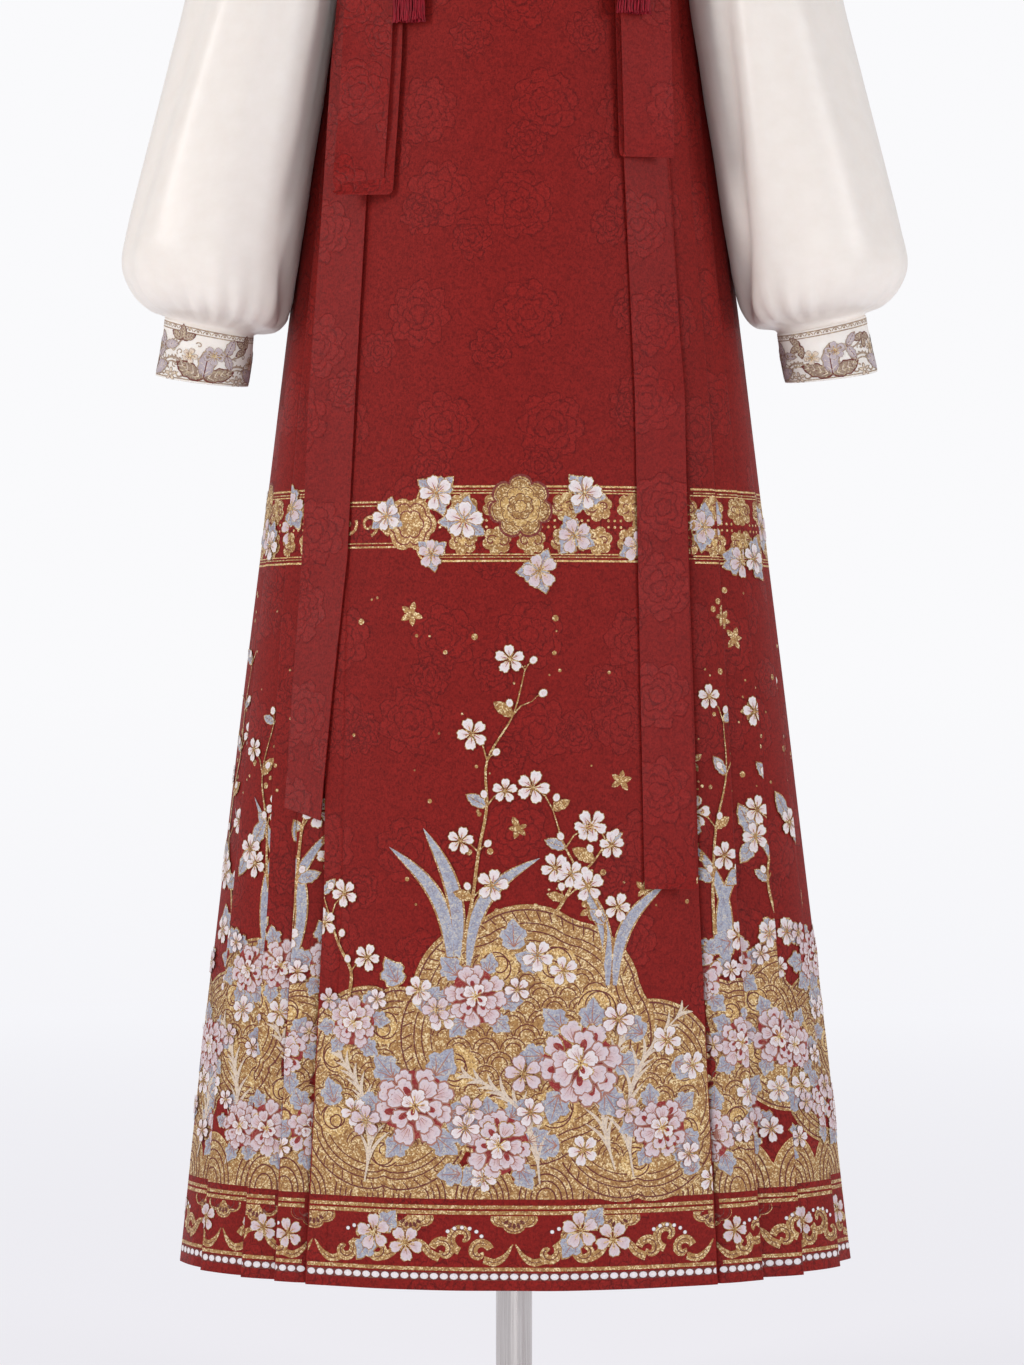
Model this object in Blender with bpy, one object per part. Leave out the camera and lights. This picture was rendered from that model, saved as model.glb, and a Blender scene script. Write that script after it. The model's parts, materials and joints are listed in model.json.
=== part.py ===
"""Chest-high pleated skirt with ties and tassels over a full-sleeved blouse, on a dress form and stand.

Metres, +Z up, the front of the garment faces -Y. The origin is on the floor, under the middle of the pole.
Left and right are as seen from the front, so left is the -X side. Angles round the body are in degrees:
0 is the front, 90 the +X side, 180 the back.
"""

import math
from collections import namedtuple

import bmesh
import bpy
import numpy as np

MM = 0.001

# Driving sizes of the skirt
HEM_Z = 0.175
BAND_BOTTOM_Z = 1.278
BAND_TOP_Z = 1.315
HEM_HALF_WIDTH = 0.2815
HEM_HALF_DEPTH = 0.205
TOP_HALF_WIDTH = 0.1420
TOP_HALF_DEPTH = 0.1305

# Cloth walls, and the gap between pieces that are sewn together
SKIRT_CLOTH = 1.0 * MM
BAND_CLOTH = 1.5 * MM
BLOUSE_CLOTH = 1.0 * MM
CUFF_CLOTH = 1.5 * MM
TIE_CLOTH = 1.2 * MM
SEAM_GAP = 0.3 * MM
LAYER = 1.55 * MM            # from one layer of a pleat to the next

SKIRT_ROWS = 8
PANEL_COLUMNS = 11
AROUND_BAND = 44

# Where the folds lie round each side, from the front panel's edge to the side seam, in degrees
Folds = namedtuple("Folds", "z panel first second third fourth")
RIGHT_FOLDS = (
    Folds(0.175, 34.9, 45.1, 55.8, 71.0, 84.0),
    Folds(0.480, 37.0, 46.8, 58.4, 73.5, 85.5),
    Folds(0.700, 40.5, 50.5, 61.1, 74.5, 86.0),
    Folds(0.880, 44.2, 53.5, 63.0, 75.0, 86.5),
    Folds(1.070, 46.6, 55.6, 65.0, 76.0, 87.0),
    Folds(1.278, 51.5, 60.0, 68.5, 77.5, 87.0),
)
LEFT_FOLDS = (
    Folds(0.175, 35.9, 42.8, 51.1, 64.5, 80.0),
    Folds(0.480, 38.3, 46.0, 54.0, 69.5, 83.5),
    Folds(0.700, 43.0, 50.0, 60.0, 74.0, 86.0),
    Folds(0.880, 45.5, 53.0, 63.0, 75.0, 86.5),
    Folds(1.070, 47.5, 56.0, 65.5, 76.0, 87.0),
    Folds(1.278, 51.0, 59.5, 68.5, 77.5, 87.0),
)

# How far each face stands back where it comes out from under the fold over it, in millimetres.
# share: how much of a face's width the layers under it take up.
Steps = namedtuple("Steps", "z first second third fourth side share")
RIGHT_STEPS = (
    Steps(0.175, 4.0, 15.0, 14.0, 17.0, 17.0, 0.38),
    Steps(0.700, 3.2, 8.5, 8.0, 10.0, 11.0, 0.45),
    Steps(1.278, 2.0, 3.4, 3.4, 3.4, 4.0, 0.55),
)
LEFT_STEPS = (
    Steps(0.175, 7.0, 8.0, 9.0, 10.0, 14.0, 0.38),
    Steps(0.500, 11.0, 8.0, 7.0, 8.0, 11.0, 0.42),
    Steps(1.278, 2.0, 3.4, 3.4, 3.4, 4.0, 0.55),
)

# Oval sections of the dress form
Section = namedtuple("Section", "z half_width front back")
FORM_SECTIONS = (
    Section(0.860, 0.138, 0.098, 0.104),
    Section(0.930, 0.150, 0.104, 0.112),
    Section(1.000, 0.138, 0.096, 0.102),
    Section(1.080, 0.116, 0.088, 0.086),
    Section(1.150, 0.119, 0.098, 0.088),
    Section(1.220, 0.129, 0.112, 0.098),
    Section(1.275, 0.133, 0.119, 0.104),
    Section(1.315, 0.134, 0.114, 0.108),
    Section(1.360, 0.143, 0.102, 0.106),
    Section(1.400, 0.151, 0.088, 0.098),
    Section(1.428, 0.150, 0.075, 0.087),
    Section(1.446, 0.134, 0.064, 0.078),
    Section(1.460, 0.102, 0.057, 0.070),
    Section(1.472, 0.070, 0.053, 0.062),
    Section(1.484, 0.054, 0.050, 0.056),
    Section(1.520, 0.050, 0.048, 0.052),
    Section(1.550, 0.050, 0.048, 0.052),
)
FORM_BOTTOM_Z = 0.860
NECK_TOP_Z = 1.550
FORM_AROUND = 36
FORM_INSET = 0.6 * MM        # keeps the form's flat faces clear of the blouse's
BAND_CLEARANCE = 0.9 * MM
FORM_CLEARANCE = 2.2 * MM    # between the form and the blouse over it

# Blouse body: the heights of its rows, and the angle that each front's free edge reaches
BLOUSE_HEM_Z = 1.140
BLOUSE_NECK_Z = 1.474
FRONT_LAP = 2.7 * MM         # the right front lies this far out over the left one
ARMHOLE_Z = 1.388
ARMHOLE_HALF_HEIGHT = 0.050
ARMHOLE_HALF_WIDTH = 0.046
HEAD_INSET = 0.75 * MM        # the sleeve's head lies this far inside the armhole's edge
HEAD_STANDS_OUT = 0.5 * MM
NeckEdge = namedtuple("NeckEdge", "z angle")
NECK_EDGES = (
    NeckEdge(1.140, -34.0),
    NeckEdge(1.272, -32.0),
    NeckEdge(1.335, -22.0),
    NeckEdge(1.400, 2.0),
    NeckEdge(1.425, 14.0),
    NeckEdge(1.446, 25.0),
    NeckEdge(1.460, 35.0),
    NeckEdge(1.474, 66.0),
)
COLLAR_WIDTH = 0.028
COLLAR_TOP_Z = 1.475
COLLAR_RISE_SHARE = 0.62     # share of each half of its route on which the collar climbs the front
COLLAR_STEPS = 26
COLLAR_START = -0.67         # share of the route where the under end meets the front that laps over it
COLLAR_OVERLAP_LIFT = 1.4 * MM
COLLAR_LIFT = 3.1 * MM       # from the blouse to the middle of the band that lies on it

# Sleeve rings, for the +X sleeve; tilt 0 stands a ring upright, 90 lays it level
Ring = namedtuple("Ring", "x y z tilt half_width half_depth")
SLEEVE_RINGS = (
    Ring(0.1690, -0.003, 1.3780, 20, 0.0560, 0.053),
    Ring(0.1850, -0.010, 1.3480, 46, 0.0610, 0.060),
    Ring(0.1985, -0.024, 1.2900, 74, 0.0600, 0.068),
    Ring(0.2040, -0.043, 1.2165, 86, 0.0625, 0.074),
    Ring(0.2180, -0.043, 1.1500, 90, 0.0655, 0.077),
    Ring(0.2345, -0.041, 1.0800, 91, 0.0675, 0.080),
    Ring(0.2470, -0.038, 1.0200, 90, 0.0700, 0.081),
    Ring(0.2525, -0.036, 0.9880, 86, 0.0700, 0.080),
    Ring(0.2520, -0.035, 0.9650, 82, 0.0640, 0.073),
    Ring(0.2510, -0.034, 0.9520, 80, 0.0530, 0.058),
    Ring(0.2520, -0.034, 0.9468, 79, 0.0375, 0.030),
)
CUFF_RINGS = (
    Ring(0.2525, -0.034, 0.9465, 78, 0.0365, 0.027),
    Ring(0.2560, -0.035, 0.9250, 80, 0.0370, 0.0275),
    Ring(0.2605, -0.036, 0.9040, 83, 0.0375, 0.028),
)
CUFF_FORWARD_TILT = math.radians(9)
SLEEVE_AROUND = 28
BODY_CLEARANCE = 2.8 * MM    # between a sleeve and the skirt beside it

# Ribbons: where the left and right edge of each show from the front at each height, and how far its
# nearest point stands off the skirt. The rest of the width turns away from the front.
RIBBON_WIDTH = 0.041
Ribbon = namedtuple("Ribbon", "z left right lift")
TAIL_LEFT = (
    Ribbon(1.2542, -0.129, -0.107, 0.0052),
    Ribbon(1.225, -0.141, -0.105, 0.0018),
    Ribbon(1.150, -0.148, -0.112, 0.0016),
    Ribbon(1.030, -0.155, -0.119, 0.0016),
    Ribbon(0.880, -0.165, -0.127, 0.0016),
    Ribbon(0.750, -0.170, -0.133, 0.0016),
    Ribbon(0.640, -0.178, -0.145, 0.0016),
    Ribbon(0.545, -0.184, -0.154, 0.0018),
)
TAIL_RIGHT = (
    Ribbon(1.2542, 0.091, 0.113, 0.0052),
    Ribbon(1.225, 0.083, 0.117, 0.0018),
    Ribbon(1.150, 0.085, 0.119, 0.0016),
    Ribbon(1.060, 0.088, 0.123, 0.0016),
    Ribbon(0.880, 0.096, 0.136, 0.0016),
    Ribbon(0.700, 0.099, 0.139, 0.0016),
    Ribbon(0.487, 0.103, 0.144, 0.0016),
)
LOOP_LEFT = (
    Ribbon(1.2542, -0.128, -0.106, 0.0122),
    Ribbon(1.225, -0.135, -0.096, 0.0120),
    Ribbon(1.150, -0.138, -0.098, 0.0105),
    Ribbon(1.100, -0.141, -0.101, 0.0100),
    Ribbon(1.040, -0.146, -0.105, 0.0090),
)
LOOP_RIGHT = (
    Ribbon(1.2542, 0.092, 0.113, 0.0122),
    Ribbon(1.225, 0.084, 0.124, 0.0120),
    Ribbon(1.150, 0.086, 0.126, 0.0105),
    Ribbon(1.070, 0.088, 0.128, 0.0090),
)
LOOP_BACK_SHIFT = {"left": 0.008, "right": -0.004}   # the loop's back layer shows beside its front one
LOOP_BACK_LIFT = 0.0046
LOOP_BACK_TOP_LIFT = 0.0088
TAIL_END_SLANT = {"left": 0.010, "right": 0.0}
TAIL_STEPS = 16
LOOP_STEPS = 8

KNOT_Z = 1.2697
KNOT_HALF = (0.021, 0.0085, 0.0152)
KNOT_X = {"left": -0.117, "right": 0.1025}
KNOT_LIFT = 0.0103
KNOT_AROUND = 14

# Tassels: a turned head with strands under it
TASSEL_X = {"left": -0.084, "right": 0.096}
TASSEL_TIP_Z = {"left": 1.177, "right": 1.183}
TASSEL_STAND = {"left": 0.0070, "right": 0.0059}     # from the loop behind a tassel to the tassel's middle
TASSEL_LENGTH = 0.060
TASSEL_HALF_WIDTH = 0.0130
TASSEL_HALF_DEPTH = 0.0050
TASSEL_COLUMNS, TASSEL_LAYERS = 14, 4
# The tassel's head, over the roots of its strands, then the cord above it
HeadRing = namedtuple("HeadRing", "rise width depth")
TASSEL_HEAD = (
    HeadRing(0.003, 1.12, 1.12),
    HeadRing(0.011, 1.00, 1.00),
    HeadRing(0.016, 0.45, 0.60),
    HeadRing(0.018, 0.16, 0.30),
    HeadRing(0.030, 0.13, 0.26),
)
STRAND_SHARE = 0.70

STRAP_HALF_WIDTH = 0.009
STRAP_STEPS = 26
STRAP_LIFT = 1.3 * MM
STRAP_X = 0.104

# Stand
POLE_RADIUS = 0.015
BASE_RADIUS = 0.175
BASE_HEIGHT = 0.014
COLLAR_RADIUS, COLLAR_HEIGHT = 0.026, 0.045
ROUND_SEGMENTS = 32

SRGB = {
    "red_jacquard": (138, 32, 36),
    "red_ribbon": (150, 42, 46),
    "crimson_cord": (176, 16, 48),
    "cream_satin": (237, 230, 225),
    "ivory_cuff": (239, 234, 230),
    "form_jersey": (226, 221, 212),
    "brushed_steel": (201, 196, 194),
}


def clear_scene():
    for thing in list(bpy.data.objects):
        bpy.data.objects.remove(thing, do_unlink=True)


def material(name, roughness=0.6, metallic=0.0):
    """One Principled material of the named colour, made once."""
    found = bpy.data.materials.get(name)
    if found:
        return found
    made = bpy.data.materials.new(name)
    made.use_nodes = True
    shader = made.node_tree.nodes["Principled BSDF"]
    linear = [((c / 255 + 0.055) / 1.055) ** 2.4 for c in SRGB[name]]
    shader.inputs["Base Color"].default_value = (*linear, 1.0)
    shader.inputs["Roughness"].default_value = roughness
    shader.inputs["Metallic"].default_value = metallic
    return made


def add_object(name, points, faces, finish, smooth=True):
    mesh = bpy.data.meshes.new(name)
    mesh.from_pydata([tuple(map(float, p)) for p in points], [], [tuple(map(int, f)) for f in faces])
    mesh.validate()
    if smooth:
        mesh.shade_smooth()
        mesh.set_sharp_from_angle(angle=math.radians(40))
    mesh.materials.append(finish)
    made = bpy.data.objects.new(name, mesh)
    bpy.context.scene.collection.objects.link(made)
    return made


def read_table(table, value, column):
    """A table's column at a value of its first column, joined by straight lines."""
    keys = [getattr(row, row._fields[0]) for row in table]
    return float(np.interp(value, keys, [getattr(row, column) for row in table]))


def smooth_column(table, value, column):
    """The same, on a smooth curve through the rows."""
    keys = np.array([row[0] for row in table])
    rows = np.array([getattr(row, column) for row in table])
    slopes = np.gradient(rows, keys)
    i = int(np.clip(np.searchsorted(keys, value) - 1, 0, len(keys) - 2))
    width = keys[i + 1] - keys[i]
    t = min(max((value - keys[i]) / width, 0.0), 1.0)
    start, end = rows[i], rows[i + 1]
    lead, trail = slopes[i] * width, slopes[i + 1] * width
    return float(start * (2 * t ** 3 - 3 * t ** 2 + 1) + lead * (t ** 3 - 2 * t ** 2 + t)
                 + end * (3 * t ** 2 - 2 * t ** 3) + trail * (t ** 3 - t ** 2))


def wall(name, outer, inner, finish, closed):
    """A closed wall between two grids of points, outer and inner, of the same shape (rows, columns, 3).
    Columns run from left to right as seen from outside, rows from bottom to top."""
    rows, columns = outer.shape[:2]
    points = np.concatenate([outer.reshape(-1, 3), inner.reshape(-1, 3)])
    inside = rows * columns
    spans = columns if closed else columns - 1
    faces = []
    for r in range(rows - 1):
        for c in range(spans):
            a, b = r * columns + c, r * columns + (c + 1) % columns
            faces.append((a, b, b + columns, a + columns))
            faces.append((inside + a, inside + a + columns, inside + b + columns, inside + b))
    for c in range(spans):
        a, b = c, (c + 1) % columns
        faces.append((a, inside + a, inside + b, b))
        top = (rows - 1) * columns
        faces.append((top + a, top + b, inside + top + b, inside + top + a))
    if not closed:
        for r in range(rows - 1):
            a, b = r * columns, (r + 1) * columns
            faces.append((a, b, inside + b, inside + a))
            a, b = a + columns - 1, b + columns - 1
            faces.append((a, inside + a, inside + b, b))
    return add_object(name, points, faces, finish)


def grid_normals(grid, closed):
    """Outward normals of a grid whose columns run left to right and rows bottom to top, seen from outside."""
    if closed:
        across = np.roll(grid, -1, axis=1) - np.roll(grid, 1, axis=1)
    else:
        across = np.gradient(grid, axis=1)
    normals = np.cross(across, np.gradient(grid, axis=0))
    return normals / np.linalg.norm(normals, axis=2, keepdims=True)


def soft_wall(name, grid, thickness, finish, closed=False):
    """A cloth wall of even thickness centred on a grid of points."""
    shift = grid_normals(grid, closed) * thickness / 2
    return wall(name, grid + shift, grid - shift, finish, closed)


def skirt_axes(z):
    """Half width and half depth of the skirt's outline at a height."""
    share = (z - HEM_Z) / (BAND_TOP_Z - HEM_Z)
    half_width = HEM_HALF_WIDTH + (TOP_HALF_WIDTH - HEM_HALF_WIDTH) * share
    half_depth = HEM_HALF_DEPTH + (TOP_HALF_DEPTH - HEM_HALF_DEPTH) * share
    return half_width, half_depth


def skirt_point(z, angle, depth=0.0):
    """A point of the skirt at an angle in degrees, a depth inwards from its outline."""
    half_width, half_depth = skirt_axes(z)
    turn = math.radians(angle)
    normal = np.array([math.sin(turn) * half_depth, -math.cos(turn) * half_width])
    normal /= np.linalg.norm(normal)
    x, y = half_width * math.sin(turn) - normal[0] * depth, -half_depth * math.cos(turn) - normal[1] * depth
    return np.array([x, y, z])


def skirt_point_at_x(z, x, depth=0.0):
    """The same, at a distance x from the middle of the front."""
    return skirt_point(z, math.degrees(math.asin(x / skirt_axes(z)[0])), depth)


def skirt_heights():
    return np.linspace(HEM_Z, BAND_BOTTOM_Z - SEAM_GAP, SKIRT_ROWS)


def pleat_line(z, folds, steps):
    """Plan line of the front half of a pleated side: (angle, depth) from under the panel to the side seam."""
    edges = [read_table(folds, z, column) for column in Folds._fields[1:]]
    stands = [read_table(steps, z, column) * MM for column in Steps._fields[1:6]]
    share = read_table(steps, z, "share")
    lead = 0.5 * (edges[1] - edges[0])
    line = [(edges[0] - lead, stands[0] + LAYER * 0.3), (edges[0], stands[0])]
    for i in range(1, 5):
        width = edges[i] - edges[i - 1]
        under = share * width
        following = edges[i + 1] - edges[i] if i < 4 else width
        inner = max(stands[i] * (following + under) / following, stands[i - 1] * share + 0.5 * MM + 2 * LAYER)
        line += [(edges[i], 0.0), (edges[i], LAYER)]
        line += [(edges[i] - under, inner - LAYER), (edges[i] - under, inner)]
        if i < 4:
            line.append((edges[i], stands[i]))
    line.append((89.0, stands[4]))
    return line


def mitred(line, distance):
    """Points of an open plan line moved sideways, to its right, by a distance, with square corners kept."""
    steps = np.diff(line, axis=0)
    steps /= np.linalg.norm(steps, axis=1, keepdims=True)
    sides = np.stack([steps[:, 1], -steps[:, 0]], axis=1)
    before = np.concatenate([sides[:1], sides])
    after = np.concatenate([sides, sides[-1:]])
    share = 1 + (before * after).sum(axis=1, keepdims=True)
    return line + (before + after) / np.maximum(share, 0.35) * distance


def build_pleats(name, sign, folds, steps, finish):
    """One side of the skirt: four knife pleats turned back from the front, the same from the back."""
    outer, inner = [], []
    for z in skirt_heights():
        front = pleat_line(z, folds, steps)
        back = [(180 - angle, depth) for angle, depth in reversed(front)]
        around = front + back
        if sign < 0:
            around = [(-angle, depth) for angle, depth in reversed(around)]
        line = np.array([skirt_point(z, angle, depth)[:2] for angle, depth in around])
        height = np.full((len(line), 1), z)
        outer.append(np.hstack([mitred(line, SKIRT_CLOTH / 2), height]))
        inner.append(np.hstack([mitred(line, -SKIRT_CLOTH / 2), height]))
    return wall(name, np.array(outer), np.array(inner), finish, closed=False)


def build_panel(name, middle, finish):
    """Front or back panel: middle is the angle of its centre."""
    grid = []
    for z in skirt_heights():
        left, right = read_table(LEFT_FOLDS, z, "panel"), read_table(RIGHT_FOLDS, z, "panel")
        start, end = (-left, right) if middle == 0 else (180 - right, 180 + left)
        grid.append([skirt_point(z, angle) for angle in np.linspace(start, end, PANEL_COLUMNS)])
    return soft_wall(name, np.array(grid), SKIRT_CLOTH, finish)


def form_point(z, angle):
    """A point of the dress form's surface."""
    turn = math.radians(angle)
    half_width = smooth_column(FORM_SECTIONS, z, "half_width")
    depth = smooth_column(FORM_SECTIONS, z, "front" if math.cos(turn) > 0 else "back")
    return np.array([half_width * math.sin(turn), -depth * math.cos(turn), z])


def form_normal(z, angle):
    around = form_point(z, angle + 0.5) - form_point(z, angle - 0.5)
    up = form_point(z + 0.0005, angle) - form_point(z - 0.0005, angle)
    normal = np.cross(around, up)
    return normal / np.linalg.norm(normal)


def over_form(z, angle, lift):
    return form_point(z, angle) + form_normal(z, angle) * lift


BLOUSE_LIFT = FORM_CLEARANCE + BLOUSE_CLOTH / 2
BLOUSE_OUTSIDE = FORM_CLEARANCE + BLOUSE_CLOTH


def build_band(finish):
    """Band at the skirt's top: it follows the pleats' outline below and hugs the blouse above."""
    grid = []
    for share in (0.0, 0.5, 1.0):
        row = []
        bottom = BAND_BOTTOM_Z + 0.35 * MM
        z = bottom + (BAND_TOP_Z - bottom) * share
        for angle in np.linspace(0, 360, AROUND_BAND, endpoint=False):
            low = skirt_point(z, angle)
            high = over_form(z, angle, BLOUSE_OUTSIDE + FRONT_LAP + BAND_CLEARANCE + BAND_CLOTH / 2)
            point = low + (high - low) * share
            point[2] = z
            row.append(point)
        grid.append(row)
    return soft_wall("skirt_top_band", np.array(grid), BAND_CLOTH, finish, closed=True)


def armhole_angle(z, gap):
    """Angle at which a blouse panel ends at height z: the side seam, or the armhole's edge above it."""
    seam = math.degrees(gap / smooth_column(FORM_SECTIONS, z, "front"))
    reach = (z - ARMHOLE_Z) / (ARMHOLE_HALF_HEIGHT + gap)
    if abs(reach) >= 1:
        return 90 - seam
    edge = (ARMHOLE_HALF_WIDTH + gap) * math.sqrt(1 - reach ** 2) + gap
    depth = smooth_column(FORM_SECTIONS, z, "front")
    return min(90 - seam, math.degrees(math.acos(min(edge / depth, 0.9))))


def blouse_heights():
    """Rows of the blouse's body, closer together round the armhole's ends."""
    top, bottom = ARMHOLE_Z + ARMHOLE_HALF_HEIGHT, ARMHOLE_Z - ARMHOLE_HALF_HEIGHT
    body = list(np.linspace(BLOUSE_HEM_Z, bottom - 0.001, 6))
    round_hole = [ARMHOLE_Z - ARMHOLE_HALF_HEIGHT * math.cos(t) for t in np.linspace(0.12, math.pi - 0.12, 8)]
    return body + round_hole + list(np.linspace(top + 0.001, BLOUSE_NECK_Z, 5))


def build_blouse_front(name, sign, lap, finish):
    """A front, for the +X side or mirrored, with its free edge across the chest. lap lifts it over the other."""
    grid = []
    for z in blouse_heights():
        edge = read_table(NECK_EDGES, z, "angle")
        side = armhole_angle(z, SEAM_GAP)
        row = []
        for angle in np.linspace(edge, side, 12):
            cover = min(max((80 - angle) / 40, 0.0), 1.0)
            point = over_form(z, sign * angle, BLOUSE_LIFT + lap * cover)
            row.append(point)
        grid.append(row if sign > 0 else row[::-1])
    return soft_wall(name, np.array(grid), BLOUSE_CLOTH, finish)


def build_blouse_back(finish):
    grid = []
    for z in blouse_heights():
        side = 180 - armhole_angle(z, SEAM_GAP)
        grid.append([over_form(z, angle, BLOUSE_LIFT) for angle in np.linspace(side, 360 - side, 15)])
    return soft_wall("blouse_back", np.array(grid), BLOUSE_CLOTH, finish)


def onto_form(point, lift):
    """The point of the form's surface level with a point, moved out by lift."""
    half_width = smooth_column(FORM_SECTIONS, point[2], "half_width")
    depth = smooth_column(FORM_SECTIONS, point[2], "front" if point[1] < 0 else "back")
    angle = math.degrees(math.atan2(point[0] / half_width, -point[1] / depth))
    return over_form(point[2], angle, lift)


def build_collar(finish):
    """Collar band: up the left front, round the neck, and down over the right front, which laps over it."""
    lower = BAND_TOP_Z + 0.018
    neck = read_table(NECK_EDGES, BLOUSE_NECK_Z, "angle")
    route = []
    for turn in np.linspace(COLLAR_START, 1, COLLAR_STEPS):
        rise = min((1 - abs(turn)) / COLLAR_RISE_SHARE, 1.0)
        z = lower + (COLLAR_TOP_Z - lower) * rise
        if rise < 1:
            angle = read_table(NECK_EDGES, z, "angle")
        else:
            angle = 180 - (180 - neck) * abs(turn) / (1 - COLLAR_RISE_SHARE)
        route.append((z, math.copysign(angle, angle * turn), turn))
    grid = []
    for across in (-0.5, -0.17, 0.17, 0.5):
        row = []
        for i, (z, angle, turn) in enumerate(route):
            ahead, behind = route[min(i + 1, len(route) - 1)], route[max(i - 1, 0)]
            along = form_point(*ahead[:2]) - form_point(*behind[:2])
            sideways = np.cross(form_normal(z, angle), along)
            sideways /= np.linalg.norm(sideways)
            over = FRONT_LAP + COLLAR_OVERLAP_LIFT if turn > 0 else 0.0
            lift = BLOUSE_OUTSIDE + over + COLLAR_LIFT
            row.append(onto_form(form_point(z, angle) + sideways * across * COLLAR_WIDTH, lift))
        grid.append(row)
    return soft_wall("collar_band", np.array(grid), BLOUSE_CLOTH, finish)


def ring_points(ring, around, forward=0.0):
    """Points of one oval ring of a sleeve, counter-clockwise seen from below."""
    tilt = math.radians(ring.tilt)
    across = np.array([math.sin(tilt), 0.0, math.cos(tilt)])
    deep = np.array([0.0, math.cos(forward), math.sin(forward)])
    centre = np.array([ring.x, ring.y, ring.z])
    points = []
    for turn in np.linspace(0, 2 * math.pi, around, endpoint=False):
        points.append(centre + across * ring.half_width * math.cos(turn) + deep * ring.half_depth * math.sin(turn))
    return np.array(points)


def clear_of_skirt(point):
    """Moves a point that would lie inside the skirt out to its side."""
    if point[2] > BAND_TOP_Z + 0.01:
        return point
    half_width, half_depth = (size + BODY_CLEARANCE for size in skirt_axes(point[2]))
    reach = math.hypot(point[0] / half_width, point[1] / half_depth)
    if reach < 1:
        point = point.copy()
        point[:2] /= reach
    return point


def armhole_ring():
    """The sleeve's head: it follows the body's surface just inside the armhole."""
    points = []
    for turn in np.linspace(0, 2 * math.pi, SLEEVE_AROUND, endpoint=False):
        z = ARMHOLE_Z + (ARMHOLE_HALF_HEIGHT - HEAD_INSET) * math.cos(turn)
        y = (ARMHOLE_HALF_WIDTH - HEAD_INSET) * math.sin(turn)
        half_width = smooth_column(FORM_SECTIONS, z, "half_width")
        depth = smooth_column(FORM_SECTIONS, z, "front" if y < 0 else "back")
        x = half_width * math.sqrt(max(1 - (y / depth) ** 2, 0)) + BLOUSE_LIFT + HEAD_STANDS_OUT
        points.append(np.array([x, y, z]))
    return np.array(points)


def build_sleeve(name, sign, finish):
    rows = [armhole_ring()]
    for ring in SLEEVE_RINGS:
        rows.append(np.array([clear_of_skirt(p) for p in ring_points(ring, SLEEVE_AROUND)]))
    grid = np.array(rows[::-1])
    if sign < 0:
        grid = grid[:, ::-1] * np.array([-1, 1, 1])
    return soft_wall(name, grid, BLOUSE_CLOTH, finish, closed=True)


def build_cuff(name, sign, finish):
    drop = np.array([0, 0, CUFF_CLOTH / 2 + SEAM_GAP + BLOUSE_CLOTH])
    rows = [ring_points(ring, SLEEVE_AROUND, CUFF_FORWARD_TILT) - drop for ring in CUFF_RINGS]
    grid = np.array(rows[::-1])
    if sign < 0:
        grid = grid[:, ::-1] * np.array([-1, 1, 1])
    return soft_wall(name, grid, CUFF_CLOTH, finish, closed=True)


def outline_y(z, x, lift):
    """Front side of the skirt's outline, moved out by lift, at a distance x from the middle."""
    half_width, half_depth = (size + lift for size in skirt_axes(z))
    return -half_depth * math.sqrt(max(1 - (x / half_width) ** 2, 0.0))


def ribbon_row(table, z, shift=0.0, lift=None):
    """Points across a ribbon at a height: it lies on the skirt where it is nearest and turns back outwards."""
    rising = table[::-1]
    stand = read_table(rising, z, "lift") if lift is None else lift
    left, right = read_table(rising, z, "left") + shift, read_table(rising, z, "right") + shift
    width = min(RIBBON_WIDTH, (right - left) * 1.25)
    turned = math.sqrt(width ** 2 - (right - left) ** 2) * math.copysign(1, left + right)
    shares = np.linspace(0, 1, 5)
    line = [(left + (right - left) * share, turned * share) for share in shares]
    near = min(outline_y(z, x, stand) - y for x, y in line)
    return [np.array([x, y + near, z]) for x, y in line[::2]]


def build_tail(side, table, finish):
    top, bottom = table[0].z, table[-1].z
    grid = np.array([ribbon_row(table, z) for z in np.linspace(bottom, top, TAIL_STEPS)])
    grid[0, :, 2] -= np.array([-1, 0, 1]) * TAIL_END_SLANT[side] / 2
    return soft_wall("tie_tail_" + side, grid, TIE_CLOTH, finish)


def build_loop(side, table, finish):
    """A ribbon that hangs down, turns under at the bottom and goes back up behind itself."""
    top, bottom = table[0].z, table[-1].z
    shift = LOOP_BACK_SHIFT[side]
    heights = np.linspace(top, bottom + 0.006, LOOP_STEPS)
    front = [ribbon_row(table, z) for z in heights]
    fold_lift = table[-1].lift
    middle = (fold_lift + LOOP_BACK_LIFT) / 2
    reach = (fold_lift - middle) * 0.75
    turn = [
        ribbon_row(table, bottom + 0.0018, shift * 0.25, middle + reach),
        ribbon_row(table, bottom, shift * 0.5, middle),
        ribbon_row(table, bottom + 0.0018, shift * 0.75, middle - reach),
    ]
    rise = np.clip((heights[::-1] - top + 0.035) / 0.035, 0, 1) * (LOOP_BACK_TOP_LIFT - LOOP_BACK_LIFT)
    aside = shift * np.clip((top - heights[::-1]) / 0.03, 0, 1)
    back = [ribbon_row(table, z, dx, LOOP_BACK_LIFT + dz) for z, dx, dz in zip(heights[::-1], aside, rise)]
    grid = np.array(front + turn + back)[::-1, ::-1]
    return soft_wall("tie_loop_" + side, grid, TIE_CLOTH, finish)


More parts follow.
